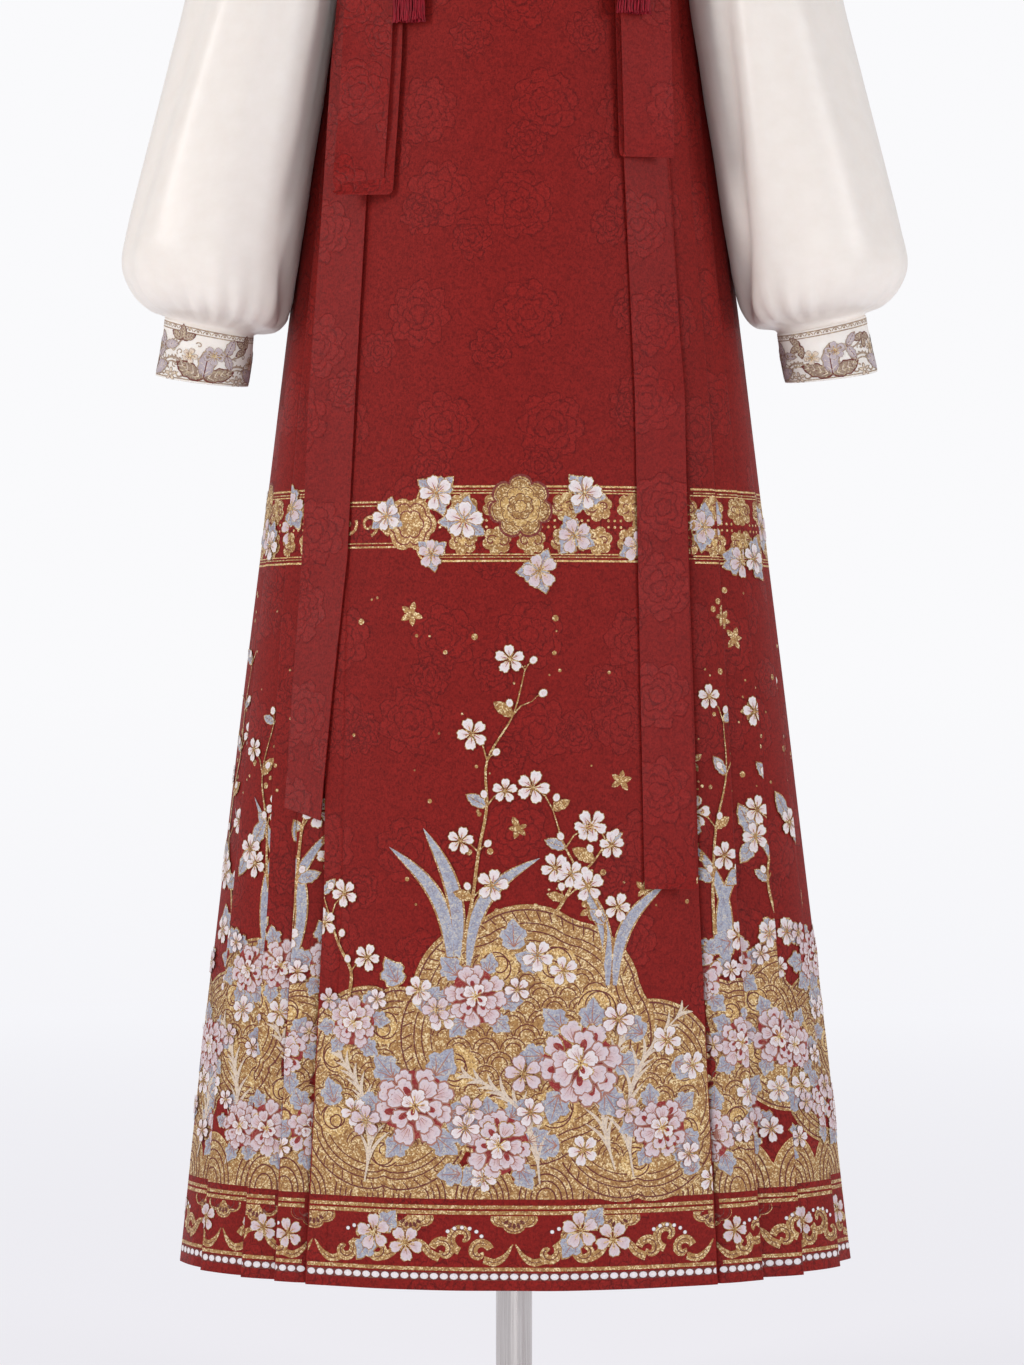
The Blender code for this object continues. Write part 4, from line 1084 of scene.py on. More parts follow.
def ring_points(ring, around, forward=0.0):
    tilt = math.radians(ring.tilt)
    across = np.array([math.sin(tilt), 0.0, math.cos(tilt)])
    deep = np.array([0.0, math.cos(forward), math.sin(forward)])
    turns = np.linspace(0, math.tau, around, endpoint=False)[:, None]
    centre = np.array([ring.x, ring.y, ring.z])
    return centre + across * ring.half_width * np.cos(turns) + deep * ring.half_depth * np.sin(turns)


def armhole_ring(around):
    points = []
    for turn in np.linspace(0, math.tau, around, endpoint=False):
        z = ARMHOLE_Z + (ARMHOLE_HALF_HEIGHT - HEAD_INSET) * math.cos(turn)
        y = (ARMHOLE_HALF_WIDTH - HEAD_INSET) * math.sin(turn)
        side = form_half_width(z) * math.sqrt(max(1 - (y / form_depth(z, y < 0)) ** 2, 0))
        points.append((side + BLOUSE_LIFT + HEAD_STANDS_OUT, y, z))
    return np.array(points)


def clear_of_skirt(points):
    """Moves points that would lie inside the skirt out to its side."""
    points = points.copy()
    half_width, half_depth = (size + BODY_CLEARANCE for size in skirt_axes(points[..., 2]))
    reach = np.hypot(points[..., 0] / half_width, points[..., 1] / half_depth)
    inside = (reach < 1) & (points[..., 2] < BAND_TOP_Z + 0.01)
    points[inside, :2] /= reach[inside, None]
    return points


def between_rows(rows, each):
    """More rows between the given ones, on smooth curves through them."""
    rows = np.array(rows)
    slopes = np.gradient(rows, axis=0)
    found = [smooth_curve(t, rows[i], rows[i + 1], slopes[i], slopes[i + 1])
             for i in range(len(rows) - 1) for t in np.linspace(0, 1, each, endpoint=False)]
    return np.array(found + [rows[-1]])


def crease_depth(creases, turns, rows):
    """How far the creases draw a sleeve in, at turns in degrees and row places from 0 to the last ring."""
    total = np.zeros(np.broadcast(turns, rows).shape)
    for c in creases:
        away = (turns - c.turn - c.lean * (rows - c.row) + 180) % 360 - 180
        total = total + c.depth * bell(away / c.half_width) * bell((rows - c.row) / c.half_length)
    return total


def build_sleeve(side):
    rings = [armhole_ring(SLEEVE_AROUND)]
    rings += [ring_points(ring, SLEEVE_AROUND) for ring in SLEEVE_RINGS + (TUCK_RING,)]
    for k in range(8, len(rings)):
        rings[k] = rings[k] + np.array(SLEEVE_SHIFT[side]) * min((k - 7) / 2, 1.0)
    rows = between_rows(rings, SLEEVE_ROWS_PER_RING)
    places = np.arange(len(rows))[:, None] / SLEEVE_ROWS_PER_RING - 1
    degrees = np.linspace(0, 360, SLEEVE_AROUND, endpoint=False)[None, :]
    turns = np.radians(degrees)
    fade = share_of(places + 1) * share_of((len(SLEEVE_RINGS) - places) / 1.5)
    phase = SLEEVE_PHASE[side]
    depth = crease_depth(SLEEVE_CREASES[side], degrees, places) * fade
    uneven = 0.6 + 0.4 * np.sin(turns * 3 + phase)
    near_cuff, near_head = bell((places - 8.6) / 1.1), bell((places - 0.6) / 0.9)
    depth = depth + GATHER_DEPTH * near_cuff * uneven * np.sin(turns * GATHERS_AROUND + phase)
    depth = depth + HEAD_PLEAT_DEPTH * near_head * np.sin(turns * HEAD_PLEATS_AROUND + phase)
    grid = rows[::-1]
    grid = grid - grid_normals(grid, True) * depth[::-1][..., None]
    middle = grid.mean(axis=1, keepdims=True)[..., 0]
    inner = share_of((middle - grid[..., 0]) / 0.05)
    grid[..., 0] -= SLEEVE_LEAN * inner * bell((grid[..., 2] - 1.05) / 0.10)
    grid = clear_of_skirt(grid)
    if side == "left":
        grid = mirrored(grid[:, ::-1], 0)
    dress("sleeve_" + side, grid, BLOUSE_CLOTH, SATIN,
          closed=True)


def cuff_grid(side):
    drop = np.array([0, 0, CUFF_CLOTH / 2 + SEAM_GAP + 1.0 * MM])
    rings = [ring_points(ring, SLEEVE_AROUND, CUFF_FORWARD_TILT) - drop + np.array(CUFF_SHIFT[side]) * share
             for ring, share in zip(CUFF_RINGS, (0.5, 0.8, 1.0))]
    grid = between_rows(rings, CUFF_ROWS_PER_RING)[::-1]
    return mirrored(grid[:, ::-1], 0) if side == "left" else grid


def build_cuff(side, with_pieces):
    dress("cuff_" + side, cuff_grid(side), CUFF_CLOTH, CUFF_GROUND,
          closed=True)


# Ties


def outline_y(z, x, lift):
    half_width, half_depth = (size + lift for size in skirt_axes(z))
    return -half_depth * np.sqrt(np.clip(1 - (x / half_width) ** 2, 0, None))


RIBBON_SHARES = np.linspace(0, 1, 13)


def ribbon_row(table, z, shift=0.0, lift=None):
    """Points across a ribbon at a height: it lies on the skirt where it is nearest and turns back outwards."""
    stand = float(column(table, z, "lift")) if lift is None else lift
    left, right = (float(column(table, z, name)) + shift for name in ("left", "right"))
    width = min(RIBBON_WIDTH, (right - left) * 1.25)
    turned_back = math.sqrt(width ** 2 - (right - left) ** 2) * math.copysign(1, left + right)
    x, y = left + (right - left) * RIBBON_SHARES, turned_back * RIBBON_SHARES
    near = (outline_y(z, x, stand) - y).min()
    return np.stack([x, y + near, np.full_like(x, z)], axis=1)


def dress_ribbon(name, grid, start):
    """A ribbon's cloth, with its own stretch of the pattern."""
    along = running_length(grid[:, len(RIBBON_SHARES) // 2])
    coords = np.stack(np.meshgrid(RIBBON_SHARES * RIBBON_WIDTH + start, along), axis=-1)
    dress(name, grid, TIE_CLOTH, RIBBON_RED, coords)


def build_tail(side):
    table = TAILS[side]
    heights = np.linspace(table[-1].z, table[0].z, 110)
    grid = np.array([ribbon_row(table, z) for z in heights])
    phase = 2 if side == "left" else 0.4
    for r, z in enumerate(heights):
        wave = 0.5 + 0.5 * math.sin(z * 31 + phase) * math.sin(z * 13 + 1)
        roll = 0.9 * MM * wave * (0.25 + 0.75 * np.abs(RIBBON_SHARES - 0.45) * 2)
        grid[r, :, 1] -= roll * share_of((1.24 - z) / 0.15)
    slant = np.linspace(-1, 1, len(RIBBON_SHARES)) * TAIL_END_SLANT[side] / 2
    near_end = share_of(1 - (heights - heights[0]) / 0.02)
    grid[..., 2] -= near_end[:, None] * slant[None, :]
    dress_ribbon("tie_tail_" + side, grid, 0.31 if side == "left" else 0.52)


def build_loop(side):
    """A ribbon that hangs down, turns under at the bottom and goes back up behind itself."""
    table = LOOPS[side]
    top, bottom = table[0].z, table[-1].z
    shift = LOOP_BACK_SHIFT[side]
    turn_height = 0.004
    heights = np.linspace(top, bottom + turn_height, 56)
    crease_z = bottom + (0.014 if side == "left" else 0.010)
    front = []
    for z in heights:
        row = ribbon_row(table, z)
        below = share_of((crease_z + 0.004 - z) / 0.012)
        dent = LOOP_TUCK * below * below * (3 - 2 * below)
        wave = 0.5 * MM * math.sin(z * 70) * min(1, (top - z) / 0.05)
        row[:, 1] += dent - wave * (RIBBON_SHARES - 0.5) * 2
        row[:, 0] += LOOP_CORNER[side] * (1 - RIBBON_SHARES) ** 3 * share_of((bottom + 0.010 - z) / 0.006)
        front.append(row)
    fold_lift = float(table[-1].lift) - LOOP_TUCK
    middle, reach = (fold_lift + LOOP_BACK_LIFT) / 2, (fold_lift - LOOP_BACK_LIFT) / 2
    under = []
    for t in np.linspace(0, math.pi, 9)[1:-1]:
        aside = shift * (1 - math.cos(t)) / 2 * 0.9 + shift * 0.05
        z = bottom + turn_height - turn_height * math.sin(t)
        under.append(ribbon_row(table, z, aside, middle + reach * math.cos(t)))
    rise = share_of((heights[::-1] - top + 0.035) / 0.035) * (LOOP_BACK_TOP_LIFT - LOOP_BACK_LIFT)
    aside = shift * share_of((top - heights[::-1]) / 0.03)
    back = [ribbon_row(table, z, dx, LOOP_BACK_LIFT + dz) for z, dx, dz in zip(heights[::-1], aside, rise)]
    grid = np.array(front + under + back)[::-1, ::-1]
    dress_ribbon("tie_loop_" + side, grid, 0.13 if side == "left" else 0.77)


def squared(value, power):
    """A sine or cosine drawn out towards the corners of a box."""
    return math.copysign(abs(value) ** power, value)


def build_knot(side):
    """A flat knot: a rounded body with the wraps of the ribbon as ridges and folds."""
    half_width, half_depth = skirt_axes(KNOT_Z)
    at = math.asin(KNOT_X[side] / half_width)
    normal = unit(np.array([math.sin(at) * half_depth, -math.cos(at) * half_width, 0]))
    centre = np.array([half_width * math.sin(at), -half_depth * math.cos(at), KNOT_Z]) + normal * KNOT_LIFT
    turn = math.atan2(centre[0], -centre[1])
    rows, around = 34, 60
    points = []
    for rise in np.linspace(-0.985, 0.985, rows):
        level, ring = squared(rise, 0.75), math.sqrt(1 - rise ** 2)
        for a in np.linspace(0, math.tau, around, endpoint=False):
            x = squared(math.cos(a) * ring, 0.7) * KNOT_HALF[0]
            y = squared(math.sin(a) * ring, 0.7) * KNOT_HALF[1]
            wraps = math.sin(level * 9 + 2.2 * x / KNOT_HALF[0])
            pinch = 1 - 0.06 * abs(wraps) - 0.10 * bell(x / 0.006) * ring
            x, y = x * (0.97 + 0.03 * wraps), y * pinch
            points.append((centre[0] + x * math.cos(turn) - y * math.sin(turn),
                           centre[1] + x * math.sin(turn) + y * math.cos(turn), centre[2] + level * KNOT_HALF[2]))
    points += [centre - [0, 0, KNOT_HALF[2]], centre + [0, 0, KNOT_HALF[2]]]
    faces = ring_faces(rows, around)
    corners = [corner for r in range(rows - 1) for c in range(around)
               for corner in ((c, r), (c + 1, r), (c + 1, r + 1), (c, r + 1))]
    for c in range(around):
        d = (c + 1) % around
        faces.append((rows * around, d, c))
        faces.append((rows * around + 1, (rows - 1) * around + c, (rows - 1) * around + d))
        corners += [(c, 0)] * 3 + [(c, rows)] * 3
    name = "tie_knot_" + side
    carried(add_mesh(name + "_cloth", points, faces, RIBBON_RED, np.array(corners) * MM), name)


def crest_height(x):
    """Height of the shoulder's ridge at a distance x from the middle."""
    low, high = 1.40, NECK_TOP_Z
    for _ in range(40):
        middle = (low + high) / 2
        if form_half_width(middle) > x:
            low = middle
        else:
            high = middle
    return low


def build_strap(side):
    lift = BLOUSE_OUTSIDE + FRONT_LAP + STRAP_LIFT
    level = BAND_TOP_Z + 1.3 * MM
    grid = []
    for x in np.linspace(STRAP_X + STRAP_HALF_WIDTH, STRAP_X - STRAP_HALF_WIDTH, 7):
        row = []
        for turn in np.linspace(0, math.pi, 100):
            in_front = turn < math.pi / 2
            z = level + (crest_height(x) - level) * math.sin(turn) ** 0.9
            y = form_depth(z, in_front) * math.sqrt(max(1 - (x / form_half_width(z)) ** 2, 0.0))
            row.append(onto_form(np.array([x, -y if in_front else y, z]), lift))
        grid.append(row)
    grid = np.array(grid)
    if side == "left":
        grid = mirrored(grid[::-1], 0)
    dress("strap_" + side, grid, TIE_CLOTH, RIBBON_RED)


# Woven motifs, drawn flat in cloth coordinates

LOWEST_LIFT = 0.10 * MM
LAYER_LIFT = 0.045 * MM
FLAT_REACH = 6.5 * MM


class Motifs:
    """Flat woven motifs: triangles in cloth coordinates, each with its thread, its layer and its shades."""

    def __init__(self, seed):
        self.corners, self.threads, self.layers, self.shades = [], [], [], []
        self.dice = random.Random(seed)

    def keep(self, corners, thread, layer, shades):
        corners = np.asarray(corners, float)
        one, two = corners[:, 1] - corners[:, 0], corners[:, 2] - corners[:, 0]
        backwards = one[:, 0] * two[:, 1] - one[:, 1] * two[:, 0] < 0
        shades = np.broadcast_to(np.asarray(shades, float), corners.shape[:2]).copy()
        corners[backwards] = corners[backwards][:, ::-1]
        shades[backwards] = shades[backwards][:, ::-1]
        self.corners.append(corners)
        self.threads.append(np.full(len(corners), THREAD_NAMES.index(thread)))
        self.layers.append(np.full(len(corners), layer))
        self.shades.append(shades)

    def fan(self, centre, rim, thread, layer, heart=0.0, edge=1.0):
        """A shape filled from a centre that sees its whole rim. A large one gets a ring halfway, to follow the
        cloth."""
        rim = np.asarray(rim, float)
        middle = np.broadcast_to(np.asarray(centre, float), rim.shape)
        if np.abs(rim - middle).max() > FLAT_REACH:
            halfway, shade = (middle + rim) / 2, (heart + edge) / 2
            self.between(closed_line(rim), closed_line(halfway), thread, layer, edge, shade)
            rim, edge = halfway, shade
        corners = np.stack([middle, rim, np.roll(rim, -1, axis=0)], axis=1)
        self.keep(corners, thread, layer, (heart, edge, edge))

    def dot(self, at, half_u, thread, layer, steps, half_v=None):
        self.fan(at, oval(at, half_u, half_v or half_u, steps), thread, layer)

    def edged(self, middle, rim, outline, outer, thread, inner, layer, above=1, heart=None, shades=(0.0, 1.0)):
        """A shape over a slightly larger one of the outline's thread."""
        self.fan(middle, middle + (rim - middle) * outer, outline, layer)
        heart = middle if heart is None else heart
        self.fan(heart, middle + (rim - middle) * inner, thread, layer + above, *shades)

    def between(self, first, second, thread, layer, shade_first=1.0, shade_second=1.0):
        """The strip between two lines of as many points."""
        first, second = np.asarray(first, float), np.asarray(second, float)
        one = np.stack([first[:-1], first[1:], second[1:]], axis=1)
        two = np.stack([first[:-1], second[1:], second[:-1]], axis=1)
        self.keep(one, thread, layer, (shade_first, shade_first, shade_second))
        self.keep(two, thread, layer, (shade_first, shade_second, shade_second))

    def stroke(self, line, width, thread, layer, taper=None):
        """A line with a width, which may taper to a share of it at each end."""
        line = np.asarray(line, float)
        along = np.gradient(line, axis=0)
        along /= np.maximum(np.linalg.norm(along, axis=1, keepdims=True), 1e-9)
        aside = np.stack([-along[:, 1], along[:, 0]], axis=1)
        half = np.full(len(line), width / 2)
        if taper:
            half = half * np.interp(np.linspace(0, 1, len(line)), [0, 0.5, 1], [taper[0], 1.0, taper[1]])
        self.between(line + aside * half[:, None], line - aside * half[:, None], thread, layer)

    def arrays(self):
        return (np.concatenate(self.corners), np.concatenate(self.threads), np.concatenate(self.layers),
                np.concatenate(self.shades))


def turned(points, centre, angle, scale=1.0):
    """Points turned and scaled about the origin, then moved to a centre."""
    points = np.asarray(points, float) * scale
    c, s = math.cos(angle), math.sin(angle)
    return points @ np.array([[c, s], [-s, c]]) + np.asarray(centre, float)


def spot(u, v, centre, angle, scale=1.0):
    """One point, turned and scaled in the same way."""
    return turned([(u, v)], centre, angle, scale)[0]


def round_points(centre, angles, reach, rise):
    return np.stack([centre[0] + reach * np.cos(angles), centre[1] + rise * np.sin(angles)], axis=-1)


def arc_line(centre, radius, start, end, steps, squash=1.0):
    return round_points(centre, np.linspace(start, end, steps), radius, radius * squash)


def oval(centre, half_u, half_v, steps):
    return round_points(centre, np.linspace(0, math.tau, steps, endpoint=False), half_u, half_v)


def lobed(centre, radius, lobes, depth, turn=0.0, steps=72):
    angles = np.linspace(0, math.tau, steps, endpoint=False)
    reach = radius * (1 - depth + depth * np.abs(np.cos(lobes * (angles - turn) / 2)) ** 0.55)
    return round_points(centre, angles, reach, reach)


def curl(centre, radius, start, turns, hand, steps=26):
    """A spiral line out from a centre."""
    t = np.linspace(0.12, 1, steps)
    reach = radius * t ** 0.85
    return round_points(centre, start + hand * turns * math.tau * t, reach, reach)


def closed_line(rim):
    return np.concatenate([rim, rim[:1]])


PETAL = ((0.10, 0.0), (0.30, 0.17), (0.52, 0.31), (0.76, 0.33), (0.94, 0.20), (0.90, 0.03), (0.97, -0.13),
         (0.80, -0.32), (0.54, -0.32), (0.30, -0.18))


def blossom(motifs, place, radius, turn, layer, thread="white", outline="gold"):
    """A five-petalled blossom with stamens."""
    dice = motifs.dice
    for k in range(5):
        angle = turn + math.tau * k / 5 + dice.uniform(-0.08, 0.08)
        size = radius * dice.uniform(0.93, 1.05)
        motifs.edged(spot(0.58, 0.0, place, angle, size), turned(PETAL, place, angle, size), outline, 1.0,
                     thread, 0.88, layer, heart=spot(0.25, 0.0, place, angle, size))
        vein = turned([(0.12, 0.0), (0.35, 0.02), (0.58, 0.03)], place, angle, size)
        motifs.stroke(vein, radius * 0.045, "crimson" if thread == "white" else "gold", layer + 2, (1.0, 0.3))
    for k in range(9):
        angle = turn + 0.3 + math.tau * k / 9 + dice.uniform(-0.12, 0.12)
        hair = turned([(0.05, 0.0), (dice.uniform(0.30, 0.46), 0.0)], place, angle, radius)
        motifs.stroke(hair, radius * 0.035, "bright_gold", layer + 3)
        motifs.dot(hair[1], radius * 0.045, "bright_gold", layer + 4, 6)
    motifs.dot(place, radius * 0.10, "gold", layer + 4, 8)


BLOOM_PETAL = ((0.0, -0.10), (0.0, 0.12), (0.26, 0.36), (0.52, 0.52), (0.78, 0.50), (0.90, 0.30), (0.84, 0.14),
               (1.0, 0.02), (0.98, -0.26), (0.80, -0.40), (0.74, -0.32), (0.60, -0.50), (0.30, -0.38))

# Rings of petals in a full bloom, from the outermost: how many, how far out, how long, and the thread
PetalRing = namedtuple("PetalRing", "petals out length thread")
BLOOM_RINGS = (
    PetalRing(8, 0.50, 0.54, "lilac"),
    PetalRing(6, 0.26, 0.50, "lilac"),
    PetalRing(4, 0.06, 0.38, "white"),
)
BLOOM_LAYERS = 20


def bloom(motifs, place, radius, turn, layer):
    """A full bloom: rings of ruffled petals, each over the last, with crimson between them and gold stamens."""
    dice = motifs.dice
    motifs.fan(place, lobed(place, radius * 0.90, 7, 0.16, turn, 30), "crimson", layer)
    base = layer
    for level, ring in enumerate(BLOOM_RINGS):
        for k in range(ring.petals):
            base += 1
            angle = turn + level * 0.5 + math.tau * k / ring.petals + dice.uniform(-0.18, 0.18)
            root = spot(ring.out, 0.0, place, angle, radius)
            size = radius * ring.length * dice.uniform(0.84, 1.08)
            lean = angle + dice.uniform(-0.30, 0.30)
            motifs.edged(spot(0.5, 0.0, root, lean, size), turned(BLOOM_PETAL, root, lean, size),
                         "vein" if dice.random() < 0.8 else "gold", 1.09, ring.thread, 0.93, base, 0.5,
                         spot(0.30, 0.0, root, lean, size))
            if dice.random() < 0.34:
                mark = spot(0.30, dice.uniform(-0.15, 0.15), root, lean, size)
                motifs.fan(mark, turned(oval((0, 0), 0.30, 0.17, 8), mark, lean, size), "crimson", base + 0.9)
            else:
                for aside in (-0.18, 0.04, 0.22):
                    vein = turned([(0.18, aside * 0.4), (dice.uniform(0.5, 0.75), aside)], root, lean, size)
                    motifs.stroke(vein, size * 0.040, "vein", base + 0.9, (1.0, 0.3))
    for k in range(8):
        angle = math.tau * k / 8 + dice.uniform(-0.3, 0.3)
        hair = turned([(0.02, 0.0), (dice.uniform(0.14, 0.26), 0.0)], place, angle, radius)
        motifs.stroke(hair, radius * 0.035, "bright_gold", layer + BLOOM_LAYERS)


ROUND_LEAF = ((0.0, 0.0), (0.02, 0.20), (0.16, 0.38), (0.34, 0.34), (0.44, 0.46), (0.62, 0.38), (0.66, 0.22),
              (0.84, 0.16), (1.0, 0.0), (0.84, -0.14), (0.70, -0.24), (0.60, -0.40), (0.42, -0.44), (0.34, -0.32),
              (0.14, -0.36), (0.02, -0.18))


def round_leaf(motifs, place, length, turn, layer):
    """A broad lobed leaf with a gold edge and gold flecks."""
    dice = motifs.dice
    rim = turned(ROUND_LEAF, place, turn, length)
    motifs.edged(spot(0.45, 0.0, place, turn, length), rim, "gold", 1.07, "blue_grey", 0.94, layer)
    for tip in ((0.88, 0.0), (0.55, 0.28), (0.52, -0.28), (0.28, 0.22), (0.26, -0.22)):
        vein = turned([(0.10, 0.0), (tip[0] * 0.55 + 0.05, tip[1] * 0.45), tip], place, turn, length)
        motifs.stroke(vein, length * 0.030, "vein", layer + 2, (1.0, 0.3))
    for _ in range(4):
        at = spot(dice.uniform(0.2, 0.8), dice.uniform(-0.22, 0.22), place, turn, length)
        motifs.dot(at, 0.5 * MM, "gold", layer + 2, 6, 0.4 * MM)


LEAF = ((0.0, 0.0), (0.12, 0.16), (0.30, 0.24), (0.42, 0.22), (0.55, 0.27), (0.68, 0.20), (0.80, 0.17), (1.0, 0.0),
        (0.82, -0.15), (0.66, -0.22), (0.52, -0.25), (0.40, -0.20), (0.26, -0.22), (0.10, -0.13))


def leaf(motifs, place, length, turn, layer, thread="blue_grey"):
    """A notched leaf with gold veins."""
    rim = turned(LEAF, place, turn, length)
    motifs.edged(spot(0.5, 0.0, place, turn, length), rim, "gold", 1.06, thread, 0.92, layer, shades=(0.2, 1.0))
    middle_vein = turned([(0.04, 0.0), (0.5, 0.02), (0.92, 0.0)], place, turn, length)
    motifs.stroke(middle_vein, length * 0.028, "gold", layer + 2)
    side_veins(motifs, ((0.22, 0.15), (0.42, 0.18), (0.62, 0.13)), 0.14, place, length, turn, 0.018,
               "gold", layer + 2)


def side_veins(motifs, veins, run, place, length, turn, width, thread, layer):
    """Pairs of veins from a leaf's middle: where each starts, and how far it reaches to the side."""
    for start, reach in veins:
        for sign in (1, -1):
            vein = turned([(start, 0.0), (start + run, sign * reach)], place, turn, length)
            motifs.stroke(vein, length * width, thread, layer, (1.0, 0.4))


def bent_line(root, tip, bend, steps):
    """A line from root to tip that swings aside on its way."""
    root, tip = np.array(root, float), np.array(tip, float)
    aside = np.array([-(tip - root)[1], (tip - root)[0]]) * bend
    t = np.linspace(0, 1, steps)[:, None]
    return root + (tip - root) * t + aside * np.sin(math.pi * t) * 0.5


def blade(motifs, root, tip, bend, width, layer, thread="blue_grey"):
    """A long narrow leaf that bends on its way."""
    line = bent_line(root, tip, bend, 16)
    swell = np.sin(np.linspace(0.25, math.pi, 16)) ** 0.8 * width / 2 + 0.15 * MM
    along = unit(np.gradient(line, axis=0))
    normal = np.stack([-along[:, 1], along[:, 0]], axis=1) * swell[:, None]
    motifs.between(line + normal * 1.14, line - normal * 1.14, "gold", layer)
    motifs.between(line + normal * 0.86, line, thread, layer + 1, 1.0, 0.3)
    motifs.between(line, line - normal * 0.86, thread, layer + 1, 0.3, 1.0)


def frond(motifs, root, tip, bend, width, layer):
    """A curved plume: a stem with long slender leaves that part from it and shorten towards its tip."""
    dice = motifs.dice
    line = bent_line(root, tip, bend, 21)
    along = np.gradient(line, axis=0)
    angles = np.arctan2(along[:, 1], along[:, 0])
    for k in range(2, 20, 2):
        for sign in (1, -1):
            reach = width * (2.3 - 1.5 * k / 20) * dice.uniform(0.85, 1.1)
            end = spot(1.0, 0.0, line[k], angles[k] + sign * 0.42, reach)
            blade(motifs, line[k], end, -0.22 * sign, 2.6 * MM, layer + (0.2 if sign > 0 else 0.0), "cream")
    blade(motifs, root, line[-1], bend, 3.0 * MM, layer + 0.5, "cream")


def bud(motifs, root, angle, length, layer):
    """A round white bud on a short stalk."""
    end = spot(1.0, 0.0, root, angle, length)
    motifs.stroke([root, spot(0.5, 0.08, root, angle, length), end], 0.7 * MM, "gold", layer)
    motifs.edged(end, turned(oval((0, 0), 1.0, 0.84, 10), end, angle, length * 0.32), "gold", 1.14,
                 "white", 0.96, layer + 1, shades=(0.2, 1.0))


SPRAY_BLOSSOMS = 4


def spray(motifs, root, height, lean, layer):
    """A branch that climbs in bends, with twigs, buds, leaves and blossoms."""
    dice = motifs.dice
    knots = [np.array(root)]
    count = max(4, int(height / 0.035))
    step = height / count
    for _ in range(count):
        knots.append(knots[-1] + np.array([lean * step + dice.uniform(-0.4, 0.4) * step, step]))
    motifs.stroke(between_rows(knots, 6), 2.2 * MM, "gold", layer, (1.3, 0.35))
    for k in range(1, count + 1):
        side, start = 1 if k % 2 else -1, knots[k]
        angle = math.pi / 2 - side * dice.uniform(0.5, 1.1)
        reach = 0.9 * dice.uniform(0.016, 0.028)
        end = spot(1.0, 0.0, start, angle, reach)
        twig = [start, spot(0.5, 0.12 * side, start, angle, reach), end]
        motifs.stroke(twig, 1.1 * MM, "gold", layer, (1.0, 0.5))
        if k <= SPRAY_BLOSSOMS or k == count:
            blossom(motifs, end, dice.uniform(0.0105, 0.0140), dice.uniform(0, 6), layer + 6)
        else:
            bud(motifs, end, angle, 0.011, layer + 6)
        if dice.random() < 0.75:
            leaf(motifs, start, dice.uniform(0.014, 0.021), math.pi / 2 + side * dice.uniform(0.7, 1.3),
                 layer + 2, "blue_grey" if dice.random() < 0.7 else "gold")
        bud(motifs, start, math.pi / 2 + side * dice.uniform(0.2, 0.9), 0.010, layer + 5)


def bouquet(motifs, place, size, layer):
    """A full bloom ringed by broad leaves, with small blossoms at its sides."""
    dice = motifs.dice
    place = np.array(place)
    for k in range(6):
        angle = math.tau * k / 6 + dice.uniform(-0.25, 0.25)
        root = spot(0.82, 0.0, place, angle, size)
        round_leaf(motifs, root, size * dice.uniform(0.72, 0.98), angle + dice.uniform(-0.6, 0.6),
                   layer + 0.3 * k)
    bloom(motifs, place, size, dice.uniform(0, 6), layer + 4)
    for k in range(2):
        at = spot(1.38, 0.0, place, math.pi * k + dice.uniform(-0.9, 0.9), size)
        blossom(motifs, at, size * dice.uniform(0.42, 0.52), dice.uniform(0, 6), layer + 5 + BLOOM_LAYERS,
                "lilac" if k % 2 else "white", "vein")


SCALE_SPACING = 0.0215


def medallion(motifs, centre, radius, lobes, layer):
    """A lobed gold ground engraved with rings, fine arcs and scrolls."""
    dice = motifs.dice
    centre = np.array(centre)
    rim = lobed(centre, radius, lobes, 0.07)
    rings = [centre + (rim - centre) * share for share in np.linspace(1.0, 0.0, 10)]
    for outer, inner in zip(rings[:-1], rings[1:]):
        motifs.between(closed_line(outer), closed_line(inner), "gold", layer)
    for share, width in ((0.960, 1.3), (0.86, 1.1), (0.80, 1.1), (0.73, 0.9)):
        motifs.stroke(closed_line(centre + (rim - centre) * share), width * MM, "shadow", layer + 1)
    count = int(radius * 620)
    for k in range(count):
        line = turned([(0.875, -0.02), (0.95, 0.02)], centre, math.tau * k / count, radius)
        motifs.stroke(line, 1.0 * MM, "shadow", layer + 1)
    reach = int(radius / SCALE_SPACING) + 1
    for row in range(-reach, reach + 1):
        for col in range(-reach, reach + 1):
            at = centre + np.array([(col + 0.5 * (row % 2)) * SCALE_SPACING, row * SCALE_SPACING * 0.5])
            if np.linalg.norm(at - centre) <= radius * 0.66:
                for share in (0.96, 0.60):
                    scale = arc_line(at, SCALE_SPACING * 0.5 * share, 0.1, math.pi - 0.1, 7)
                    motifs.stroke(scale, 0.95 * MM, "shadow", layer + 1)
    for k in range(lobes):
        at = spot(0.58, 0.0, centre, math.tau * (k + 0.5) / lobes, radius)
        motifs.dot(at, radius * 0.16, "bright_gold", layer + 2, 18)
        for hand in (1, -1):
            line = curl(at, radius * 0.15, dice.uniform(0, 6), 1.3, hand, 24)
            motifs.stroke(line, 1.1 * MM, "shadow", layer + 3)


